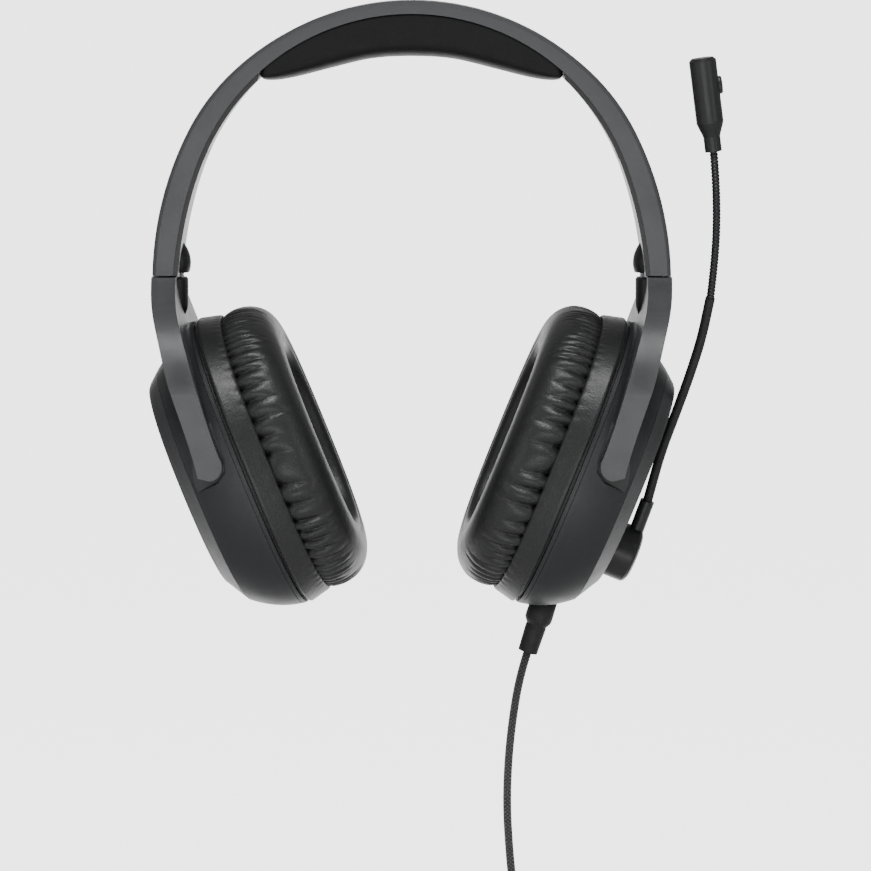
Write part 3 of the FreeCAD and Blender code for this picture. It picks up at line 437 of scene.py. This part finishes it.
# ---------------------------------------------------------------- cable
CABLE_EXIT = (38.68, 0.0, -200.13)
CABLE_RUN = [(36.2, 0.0, -208.0), (33.9, 0.2, -221.5), (32.3, -0.3, -236.5), (31.8, -0.2, -252.0),
             (32.5, 0.3, -265.0), (33.5, 0.0, -276.5)]
CABLE_TO_COIL = [(34.6, -2.0, -282.4), (38.4, -3.8, -286.6)]
CABLE_DIAMETER = 2.8
CABLE_SIDES = 16
ROUTE_STEPS = 5             # samples from each of the route's points to the next
COIL_CENTRE = (33.5, 0.0, -306.0)
COIL_RADIUS = 17.0
COIL_PITCH = 2.9            # from a turn's middle to the next one's
COIL_ROWS = 4               # turns deep, and as many wide
COIL_START = math.radians(62)
TURN_POINTS = 16
LEAVE_EARLY = 0.3           # turns before the coil's end where the cable starts to leave it
LEAVE_OVER = 0.5            # turns that this takes
LEAVE_OUT = 2.4             # how far out of its row it has come by then
PLUG_TOP = (57.3, 0.0, -312.0)
PLUG_LEAD = 2.5             # straight length above the plug
PLUG_TUCK = 0.4             # length inside it


def turn_places():
    """Places of the turns in the bundle, as (outward, rearward): in one column, out the next."""
    places = []
    middle = (COIL_ROWS - 1) / 2
    for column in range(COIL_ROWS):
        rows = range(COIL_ROWS) if column % 2 else reversed(range(COIL_ROWS))
        for row in rows:
            places.append(((row - middle) * COIL_PITCH, (column - middle) * COIL_PITCH))
    return places


def coil_points():
    """The put-away length: turns that start near the top and end at the plug's side."""
    places = turn_places()
    last = len(places) - 1
    whole = len(places) * TURN_POINTS + round(COIL_START / (2 * math.pi) * TURN_POINTS)
    points = []
    for step in range(whole + 1):
        turns = step / TURN_POINTS
        angle = COIL_START - turns * 2 * math.pi
        index = min(int(turns), last)
        share = min(turns - index, 1.0)
        after = places[min(index + 1, last)]
        outward, rearward = [a + (b - a) * share for a, b in zip(places[index], after)]
        leaving = min(max(0.0, turns - len(places) + LEAVE_EARLY) / LEAVE_OVER, 1.0)
        radius = COIL_RADIUS + outward + leaving * LEAVE_OUT
        points.append((COIL_CENTRE[0] + radius * math.cos(angle), rearward * (1 - leaving),
                       COIL_CENTRE[2] + radius * math.sin(angle)))
    return points


def cable_path():
    """Points of the smooth line that the cable's route makes, from the cup to the plug."""
    route = [CABLE_EXIT] + CABLE_RUN + CABLE_TO_COIL + coil_points()
    route += [(PLUG_TOP[0], 0.0, PLUG_TOP[2] + lift) for lift in (PLUG_LEAD, -PLUG_TUCK)]
    data = bpy.data.curves.new("cable_route", "CURVE")
    data.dimensions = "3D"
    data.resolution_u = ROUTE_STEPS
    line = data.splines.new("NURBS")
    line.points.add(len(route) - 1)
    for point, spot in zip(line.points, route):
        point.co = (*[part * MM for part in spot], 1)
    line.order_u = 3
    line.use_endpoint_u = True
    guide = bpy.data.objects.new("cable_route", data)
    bpy.context.scene.collection.objects.link(guide)
    bpy.context.view_layer.update()
    drawn = bpy.data.meshes.new_from_object(guide.evaluated_get(bpy.context.evaluated_depsgraph_get()))
    path = np.array([vertex.co[:] for vertex in drawn.vertices], float)
    bpy.data.objects.remove(guide)
    return path


def make_cable():
    """The cord in one piece, from its strain relief through the tied coil to the plug."""
    path = cable_path()
    rings = tube_rings(path, [CABLE_DIAMETER / 2 * MM] * len(path), CABLE_SIDES)
    cable = grid_piece("braided_cable", rings, "braid", "left_cup", closed_rows=False,
                       uv=list(lengths_along(path)))
    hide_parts("cable_run", "cable_coil")
    tie = make_tie()
    relief = make_strain_relief()


BOOT_TOP = (44.3, 0.0, -182.4)
RELIEF_SIDES = 48
RELIEF_PROFILE = [(-1.5, 4.4), (5.4, 4.6), (6.9, 4.55), (7.6, 4.3), (8.4, 3.75), (8.9, 3.35), (9.3, 3.5),
                  (11.0, 3.5), (17.2, 3.3), (18.0, 3.35), (18.5, 3.2), (18.6, 1.5)]     # (along, radius)


def make_strain_relief():
    """Moulded rubber collar and tapered sleeve that the cable leaves the cup through."""
    start = np.array(BOOT_TOP)
    way = np.array(CABLE_EXIT) - start
    way /= np.linalg.norm(way)
    lengths, radii = np.array(RELIEF_PROFILE).T
    rings = tube_rings((start + np.outer(lengths, way)) * MM, radii * MM, RELIEF_SIDES)
    relief = grid_piece("cable_strain_relief", rings, "rubber", "left_cup", closed_rows=False)
    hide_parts("cable_boot", "cable_grommet")
    return relief


TIE_PLACE = math.radians(115)       # where on the coil it is
TIE_PROFILE = [(-4.0, 0.0), (-4.0, 0.7), (-3.7, 0.95), (3.7, 0.95), (4.0, 0.7), (4.0, 0.0)]
TIE_CLEARANCE = 0.15
TIE_SQUARENESS = 6
TIE_POINTS = 48


def make_tie():
    """A strap round the coil, rounded-square like the bundle of turns that it holds."""
    outward = np.array([math.cos(TIE_PLACE), 0, math.sin(TIE_PLACE)])
    rearward = np.array([0.0, 1.0, 0.0])
    along = np.array([-math.sin(TIE_PLACE), 0, math.cos(TIE_PLACE)])
    middle = np.array(COIL_CENTRE) + outward * COIL_RADIUS
    inside = (COIL_ROWS - 1) / 2 * COIL_PITCH + CABLE_DIAMETER / 2 + TIE_CLEARANCE
    rows = []
    for shift, thick in TIE_PROFILE:
        ring = []
        for angle in round_angles(TIE_POINTS):
            x, y = math.cos(angle), math.sin(angle)
            corner = (abs(x) ** TIE_SQUARENESS + abs(y) ** TIE_SQUARENESS) ** (1 / TIE_SQUARENESS)
            size = (inside + thick) / corner
            ring.append((middle + outward * x * size + rearward * y * size + along * shift) * MM)
        rows.append(ring)
    tie = grid_piece("coil_tie", rows, "rubber", "left_cup")
    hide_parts("cable_tie")
    return tie


# ---------------------------------------------------------------- ovals in the cup's frame
CUP_TILT = math.radians(22.0)
CUP_OFFSET = 53.2
CUP_LEVEL = -135.4
AROUND = 640                # points round a cushion
PROFILE_STEPS = 5           # samples from each of a profile's points to the next


def cup_points(side, rows):
    """Rows of (up, rear, out) in a cup's own frame, put in the headset's frame, in metres."""
    up, rear, out = np.moveaxis(rows, 2, 0)
    x = CUP_OFFSET + math.cos(CUP_TILT) * out + math.sin(CUP_TILT) * up
    z = CUP_LEVEL - math.sin(CUP_TILT) * out + math.cos(CUP_TILT) * up
    return np.stack([side * x, rear, z], axis=-1) * MM


def oval_rows(profile, roundness):
    """Rows of (up, rear, out) round an oval for a profile of (out, half_tall, half_wide)."""
    angles = round_angles(AROUND)
    tall = rounded(np.cos(angles), 2 / roundness)
    wide = rounded(np.sin(angles), 2 / roundness)
    return np.array([np.stack([half_tall * tall, half_wide * wide, out + 0 * tall], axis=-1)
                     for out, half_tall, half_wide in profile])


def row_normals(rows):
    """Unit normals of a grid of points that closes both ways, pointing out of its ring."""
    down = np.roll(rows, -1, axis=0) - np.roll(rows, 1, axis=0)
    over = np.roll(rows, -1, axis=1) - np.roll(rows, 1, axis=1)
    found = np.cross(down, over)
    found /= np.maximum(np.linalg.norm(found, axis=2), 1e-9)[:, :, None]
    core = rows.mean(axis=0, keepdims=True)
    if ((rows - core) * found).sum() < 0:
        found = -found
    return found


# ---------------------------------------------------------------- pleats
PLEAT_SEEDS = {"left": 11, "right": 23}
PLEAT_TURN = 0.052          # from a pleat to the next at an oval's top and bottom, in radians
PLEAT_TURN_MORE = 0.06      # and as much more than that at its sides
PLEAT_CROWDING = 1.3        # above 1: the close spacing reaches further from top and bottom
PLEAT_SPREADS = (0.72, 1.3)         # least and most of a single pleat's spacing, as a share
PLEAT_DEPTHS = (0.6, 1.0)           # the same for its depth
PLEAT_REACHES = (0.6, 1.25)         # for how far it runs
PLEAT_SLANTS = (-0.5, 0.5)          # and for which way it slants
PLEAT_DEEP = 3.3            # from the highest crest to its valley
PLEAT_START = -7.8          # where they leave the seam, on the cup's own axis
PLEAT_REACH = 13.5          # how far from there they run
PLEAT_ONSET = 0.12          # share of the reach, before the start, over which they rise
PLEAT_END = 1.4             # share of the reach past which there are none
PLEAT_DRIFT = 0.03          # radians that all of them lean over one reach
PLEAT_SLANT = 0.12          # share of a pleat that its crest wanders over one reach
CREST_POWER = 0.7           # below 1: broad crests and sharp valleys
CREST_LEVEL = 0.62          # share of a pleat's height that lies below the plain shape
FADE_LATE, FADE_SOFT = 1.6, 1.3     # powers: a pleat keeps its height at first, and ends softly


def pleat_wave(seed):
    """Where each pleat of a cushion starts, and how deep, long and slanted it is."""
    pick = random.Random(seed)
    marks = [0.0]
    while marks[-1] < 2 * math.pi:
        more = PLEAT_TURN_MORE * abs(math.sin(marks[-1])) ** PLEAT_CROWDING
        marks.append(marks[-1] + (PLEAT_TURN + more) * pick.uniform(*PLEAT_SPREADS))
    marks = np.array(marks) * 2 * math.pi / marks[-1]
    deeper_at_sides = 0.5 + 0.5 * np.abs(np.sin(marks))
    return {
        "marks": marks,
        "depths": deeper_at_sides * np.array([pick.uniform(*PLEAT_DEPTHS) for mark in marks]),
        "reaches": np.array([pick.uniform(*PLEAT_REACHES) for mark in marks]),
        "slants": np.array([pick.uniform(*PLEAT_SLANTS) for mark in marks]),
    }


def pleat_places(wave, angles):
    """For each angle, the pleat that it is in and how far across that pleat it is."""
    marks = wave["marks"]
    spot = np.clip(np.searchsorted(marks, angles, side="right") - 1, 0, len(marks) - 2)
    return spot, (angles - marks[spot]) / (marks[spot + 1] - marks[spot])


def pleated(rows, profile, wave):
    """Moves rows along their normals by pleats that fade out away from the seam."""
    normals = row_normals(rows)
    moved = rows.copy()
    for index, out in enumerate(profile[:, 0]):
        travel = (PLEAT_START - out) / PLEAT_REACH
        if not -PLEAT_ONSET <= travel <= PLEAT_END:
            continue
        gone = max(travel, 0.0)
        spot, share = pleat_places(wave, (round_angles(AROUND) + PLEAT_DRIFT * gone) % (2 * math.pi))
        share = np.clip(share + wave["slants"][spot] * PLEAT_SLANT * gone, 0, 1)
        crest = np.sin(math.pi * share) ** CREST_POWER
        fade = np.clip(1 - (gone / wave["reaches"][spot]) ** FADE_LATE, 0, 1) ** FADE_SOFT
        onset = min(1.0, 1.0 + travel / PLEAT_ONSET)
        height = (crest - CREST_LEVEL) * PLEAT_DEEP * wave["depths"][spot] * fade * onset
        moved[index] += normals[index] * height[:, None]
    return moved


# ---------------------------------------------------------------- ear cushions
# Profiles are closed lists of (out, half_tall, half_wide).
CUSHION_PROFILE = [(-7.4, 45.9, 39.9), (-8.8, 47.0, 41.0), (-11.2, 48.1, 42.1), (-15.0, 48.4, 42.4),
                   (-19.0, 47.5, 41.6), (-22.6, 44.8, 39.0), (-24.6, 41.0, 35.0), (-25.2, 37.0, 30.4),
                   (-25.1, 33.6, 26.4), (-23.8, 31.2, 23.6), (-19.0, 29.9, 22.0), (-12.0, 29.3, 21.3),
                   (-4.2, 29.2, 21.2), (-3.5, 31.0, 23.0), (-3.5, 43.5, 37.5), (-4.4, 45.2, 39.2)]
CUSHION_ROUNDNESS = 2.5
CREST_OUT = -20.0           # past this the cover turns over its crest
SEAM_HALF_TALL = 34.6       # of the oval that the crest's seam runs along
SEAM_HALF_WIDTH = 0.9
SEAM_DEEP = 0.45

SKIRT_PROFILE = [(-1.05, 48.0, 42.0), (-1.0, 49.9, 43.7), (-1.7, 50.35, 44.15), (-3.0, 50.1, 43.9),
                 (-5.0, 49.6, 43.4), (-7.0, 49.1, 42.9), (-8.3, 48.6, 42.4), (-8.7, 47.8, 41.6),
                 (-7.6, 47.1, 41.1), (-4.0, 46.9, 40.9)]
SKIRT_ROUNDNESS = 2.4
PUCKER_START = 4.5          # the skirt is smooth up to here, and puckered towards the cushion
PUCKER_OVER = 4.0
PUCKER_DEEP = 0.35
PUCKER_LEVEL = 0.6


def make_cushion(name, side):
    """Stuffed ring whose outer side is gathered in pleats, with a seam just inside its crest."""
    profile = through(CUSHION_PROFILE, PROFILE_STEPS, closed=True)
    rows = oval_rows(profile, CUSHION_ROUNDNESS)
    outer = len(CUSHION_PROFILE) // 2 * PROFILE_STEPS
    rows[:outer] = pleated(rows, profile, pleat_wave(PLEAT_SEEDS[name]))[:outer]
    sink_crest_seam(rows, profile)
    cushion = grid_piece(name + "_cushion_cover", cup_points(side, rows), "leatherette", name + "_cup")
    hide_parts(name + "_ear_cushion")


def sink_crest_seam(rows, profile):
    """A stitched line just inside the crest, where two covers meet."""
    normals = row_normals(rows)
    for index, (out, half_tall) in enumerate(profile[:, :2]):
        gap = (half_tall - SEAM_HALF_TALL) / SEAM_HALF_WIDTH
        if out < CREST_OUT:
            rows[index] -= normals[index] * SEAM_DEEP * math.exp(-gap * gap)


def make_skirt(name, side):
    """Flat band of the cover between cushion and cup, puckered by the pleats that start on it."""
    profile = through(SKIRT_PROFILE, PROFILE_STEPS, closed=True)
    rows = oval_rows(profile, SKIRT_ROUNDNESS)
    wave = pleat_wave(PLEAT_SEEDS[name])
    spot, share = pleat_places(wave, round_angles(AROUND))
    pucker = PUCKER_DEEP * wave["depths"][spot] * (np.sin(math.pi * share) - PUCKER_LEVEL)
    near = np.clip((-profile[:, 0] - PUCKER_START) / PUCKER_OVER, 0, 1) ** 2
    rows += row_normals(rows) * (near[:, None] * pucker)[:, :, None]
    skirt = grid_piece(name + "_skirt_band", cup_points(side, rows), "leatherette", name + "_cup")
    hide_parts(name + "_cushion_skirt")


CLOTH_HALF_TALL = 44.0
CLOTH_HALF_WIDE = 38.2
CLOTH_ROUNDNESS = 2.3
CLOTH_FRONT, CLOTH_BACK = -3.0, -2.85
CLOTH_BOW = 0.5
CLOTH_MIDDLE = 0.02                 # the innermost ring's share of the oval
CLOTH_RINGS = 24
CLOTH_POINTS = 160


def make_driver_cloth(name, side):
    """Thin cloth stretched over the speaker, with a slight bow towards the ear."""
    angles = round_angles(CLOTH_POINTS)
    tall = rounded(np.cos(angles), 2 / CLOTH_ROUNDNESS) * CLOTH_HALF_TALL
    wide = rounded(np.sin(angles), 2 / CLOTH_ROUNDNESS) * CLOTH_HALF_WIDE
    inward = np.linspace(1.0, CLOTH_MIDDLE, CLOTH_RINGS)
    outward = np.linspace(CLOTH_MIDDLE, 1.0, CLOTH_RINGS)
    rows = []
    for face, shares in ((CLOTH_FRONT, inward), (CLOTH_BACK, outward)):
        for share in shares:
            bow = face - CLOTH_BOW * (1 - share ** 2)
            rows.append(np.stack([tall * share, wide * share, bow + 0 * tall], axis=-1))
    cloth = grid_piece(name + "_speaker_cloth", cup_points(side, np.array(rows)),
                       "speaker_cloth", name + "_cup")
    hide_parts(name + "_driver_cloth")


# ---------------------------------------------------------------- head pad
PAD_SPAN = 49.4             # half its length
PAD_HALF_DEPTH = 13.5
PAD_UNDERSIDE = [(0.0, -1.2), (8.0, -1.45), (16.0, -2.5), (27.0, -5.2), (36.0, -7.5), (42.0, -8.7),
                 (46.0, -9.0), (48.4, -8.6), (49.4, -7.4)]      # (x, z) of the wearer's side
PAD_PRESSED = 0.25          # how far its top is pressed against the band
PAD_END = 0.95              # share of its length where the ends start to round off
PAD_END_NARROWS = 1.6
PAD_UPPER_SQUARENESS = 24.0
PAD_LOWER_SQUARENESS = 3.4
PAD_SECTIONS = 141
PAD_STEPS = 12              # samples from each of the underside's points to the next
PAD_POINTS = 96
BAND_INNER_RADIUS = 74.4
BAND_INNER_TOP = 12.7


def make_pad():
    """Crowned pad: flat against the band, soft lower edges, full rounded ends."""
    under_line = through(PAD_UNDERSIDE, PAD_STEPS)
    rows = []
    for span in np.sin(np.linspace(-1, 1, PAD_SECTIONS) * math.pi / 2):
        x = PAD_SPAN * span
        arch = BAND_INNER_TOP - BAND_INNER_RADIUS + math.sqrt(BAND_INNER_RADIUS ** 2 - x * x)
        top = arch + PAD_PRESSED
        under = float(np.interp(abs(x), under_line[:, 0], under_line[:, 1]))
        middle, half = (top + under) / 2, (top - under) / 2
        end = max(0.0, (abs(span) - PAD_END) / (1 - PAD_END))
        half_depth = PAD_HALF_DEPTH - PAD_END_NARROWS * end ** 2
        ring = []
        for angle in round_angles(PAD_POINTS):
            squareness = PAD_UPPER_SQUARENESS if math.sin(angle) > 0 else PAD_LOWER_SQUARENESS
            across = float(rounded(math.cos(angle), 2 / squareness)) * half_depth
            height = float(rounded(math.sin(angle), 2 / squareness)) * half
            ring.append((x * MM, across * MM, (middle + height) * MM))
        rows.append(ring)
    pad = grid_piece("crown_pad_cover", rows, "pad_leatherette", "root", closed_rows=False)
    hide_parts("headband_pad")


# ---------------------------------------------------------------- gooseneck
SLEEVE_BEFORE = (95.0, -16.2, -92.6)
NECK_JOINTS = [(97.4, -19.6, -79.2), (98.9, -23.2, -56.0), (97.6, -25.9, -31.6)]
MIC_TIP = (93.6, -27.0, -1.8)
NECK_LENGTHS = [("boom", "neck_lower", ["gooseneck_lower"]),
                ("neck_lower", "neck_upper", ["gooseneck_lower", "gooseneck_upper"]),
                ("neck_upper", "microphone", ["gooseneck_upper"])]      # bodies, and nodes replaced
NECK_RADIUS = 1.35
NECK_SIDES = 20
NECK_STEPS = 300            # samples from each of its points to the next
NECK_TUCK = 1.5             # how far its ends run into the sleeve and the microphone
RIB_PITCH = 1.15
RIB_SAMPLES = 8
RIB_VALLEY, RIB_HEIGHT = 0.79, 0.23     # shares of the neck's radius
RIB_POWER = 0.6             # below 1: full ribs and narrow grooves
NEAR_JOINT = 4              # samples each side of a joint that give the neck's direction there


def make_gooseneck():
    """Ribbed flexible neck in three lengths, each across one joint, that meet between joints."""
    line = through([SLEEVE_BEFORE] + NECK_JOINTS + [MIC_TIP], NECK_STEPS)
    along = lengths_along(line)
    joints = [NECK_STEPS * number for number in (1, 2, 3)]
    first, middle, last = [along[joint] for joint in joints]
    cuts = [first - NECK_TUCK, (first + middle) / 2, (middle + last) / 2, last + NECK_TUCK]
    for index, (before, after, nodes) in enumerate(NECK_LENGTHS):
        places = np.arange(cuts[index], cuts[index + 1] + 0.01, RIB_PITCH / RIB_SAMPLES)
        path = np.stack([np.interp(places, along, line[:, axis]) for axis in range(3)], axis=1)
        ribs = np.abs(np.sin(math.pi * places / RIB_PITCH)) ** RIB_POWER
        rings = tube_rings(path * MM, NECK_RADIUS * (RIB_VALLEY + RIB_HEIGHT * ribs) * MM, NECK_SIDES)
        piece = grid_piece("gooseneck_length_%d" % (index + 1), rings, "gooseneck_metal", None,
                           closed_rows=False)
        joint = joints[index]
        way = line[joint + NEAR_JOINT] - line[joint - NEAR_JOINT]
        way /= np.linalg.norm(way)
        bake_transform(piece)
        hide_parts(*nodes)


# ---------------------------------------------------------------- microphone detail
PORT_ALONG = 21.5           # from the microphone's joint towards its tip
PORT_PROFILE = [(3.6, 2.9, 1.9), (4.9, 2.9, 1.9), (5.35, 2.6, 1.6), (5.45, 1.7, 1.0),
                (5.45, 0.9, 0.55), (4.6, 0.8, 0.5)]     # (outward, half_long, half_wide)
PORT_POINTS = 32


def make_port_boss():
    """Small raised oval with a sound hole on the microphone's outer side."""
    base = np.array(NECK_JOINTS[2])
    way = np.array(MIC_TIP) - base
    way /= np.linalg.norm(way)
    outward = np.array([1.0, 0.0, 0.0])
    outward -= way * outward.dot(way)
    outward /= np.linalg.norm(outward)
    across = np.cross(way, outward)
    middle = base + way * PORT_ALONG
    rows = []
    for high, half_long, half_wide in PORT_PROFILE:
        rows.append([(middle + outward * high + way * half_long * math.cos(angle)
                      + across * half_wide * math.sin(angle)) * MM for angle in round_angles(PORT_POINTS)])
    grid_piece("microphone_port", rows, "dark_plastic", "microphone", closed_rows=False)


# ---------------------------------------------------------------- light and floor
WORLD_GLOW = 0.36
FLOOR_SIZE = 120.0
FLOOR_DROP = 0.03           # below the plug: the cable comes down as the left cup slides out
FLOOR_GREY = 0.78
NEAR_GLOW = 0.05            # of the floor under and before the headset
FAR_GLOW = 0.12             # of the floor all round, far from it
GLOW_NEAR_TO, GLOW_FAR_FROM = 0.9, 4.0      # distances between which the one becomes the other
BACKDROP_GLOW = 2.9         # of the floor behind the headset, which fills the front view
BACKDROP_NONE, BACKDROP_WHOLE = 0.05, 0.35  # how far behind the headset it begins and is whole
BACKDROP_HALF = 0.22        # half its width there
BACKDROP_WIDENS = 0.16      # for each metre further back
BACKDROP_FADES = 2.4        # times half its width, where it has faded
HORIZON_NONE, HORIZON_WHOLE = 0.9, 0.988    # the same glow in the world, by a direction's Y
HORIZON_TOP = 0.3           # the Z of the direction where that glow has faded
LIT_MIDDLE = (0, 0, -0.1)


def soft_light(name, place, target, wide, tall, power):
    data = bpy.data.lights.new(name, "AREA")
    data.shape = "RECTANGLE"
    data.size = wide
    data.size_y = tall
    data.energy = power
    light = bpy.data.objects.new(name, data)
    light.location = place
    light.rotation_euler = (Vector(target) - light.location).to_track_quat("-Z", "Y").to_euler()
    bpy.context.scene.collection.objects.link(light)


def make_lights():
    """One wide light over the front, and a tall and a small one each side."""
    soft_light("top_softbox", (0, -0.75, 1.0), LIT_MIDDLE, wide=0.6, tall=0.35, power=16.5)
    for side in SIDES.values():
        soft_light("side_softbox", (side * 0.95, -0.85, 0.15), LIT_MIDDLE,
                   wide=0.25, tall=0.6, power=2.0)
        soft_light("arm_softbox", (side * 0.17, -1.2, -0.3), (side * 0.07, 0, -0.12),
                   wide=0.14, tall=0.14, power=1.7)


def make_world():
    """Even glow, stronger low behind the headset, where the floor's backdrop ends."""
    world = bpy.data.worlds.new("studio")
    world.use_nodes = True
    background = world.node_tree.nodes["Background"]
    background.inputs["Color"].default_value = (1, 1, 1, 1)
    tree = Tree(world.node_tree)
    back, up = tree.split("Generated")[1:]
    behind = tree.eased(back, HORIZON_NONE, HORIZON_WHOLE)
    low = tree.eased(up, HORIZON_TOP, 0)
    horizon = tree.math("MULTIPLY", tree.math("MULTIPLY", behind, low), BACKDROP_GLOW)
    tree.links.new(tree.math("ADD", horizon, WORLD_GLOW), background.inputs["Strength"])
    bpy.context.scene.world = world


def lit_floor():
    """Pale floor that glows softly where it serves as the backdrop, by its own place only."""
    paint = Paint("studio_floor", (FLOOR_GREY,) * 3, 0.9, Emission_Color=(1, 1, 1, 1))
    paint.vary_colour(paint.noise(scale=4.0), spread=0.01)
    sideways, back = paint.split("Object")[:2]
    edge = paint.math("ADD", paint.math("MULTIPLY", back, BACKDROP_WIDENS), BACKDROP_HALF)
    aside = paint.math("DIVIDE", paint.math("ABSOLUTE", sideways, 0), edge)
    within = paint.eased(aside, BACKDROP_FADES, 1.0)
    behind = paint.eased(back, BACKDROP_NONE, BACKDROP_WHOLE)
    backdrop = paint.math("MULTIPLY", paint.math("MULTIPLY", within, behind), BACKDROP_GLOW)
    place = paint.node("ShaderNodeTexCoord")
    distance = paint.node("ShaderNodeVectorMath", operation="LENGTH")
    paint.links.new(place.outputs["Object"], distance.inputs[0])
    far = paint.eased(distance.outputs["Value"], GLOW_NEAR_TO, GLOW_FAR_FROM)
    glow = paint.math("ADD", paint.math("MULTIPLY", far, FAR_GLOW - NEAR_GLOW), NEAR_GLOW)
    paint.links.new(paint.math("ADD", glow, backdrop), paint.shader.inputs["Emission Strength"])
    return paint.material


def make_floor():
    ground = cad_low[2] - FLOOR_DROP
    bpy.ops.mesh.primitive_plane_add(size=FLOOR_SIZE, location=(0, 0, ground))
    floor = bpy.context.object
    floor.name = "floor"
    floor.data.materials.append(lit_floor())


make_camera()
paint_cad_nodes()
make_cable()
for side_name, side_sign in SIDES.items():
    make_cushion(side_name, side_sign)
    make_skirt(side_name, side_sign)
    make_driver_cloth(side_name, side_sign)
make_pad()
make_gooseneck()
make_port_boss()
make_world()
make_floor()
make_lights()
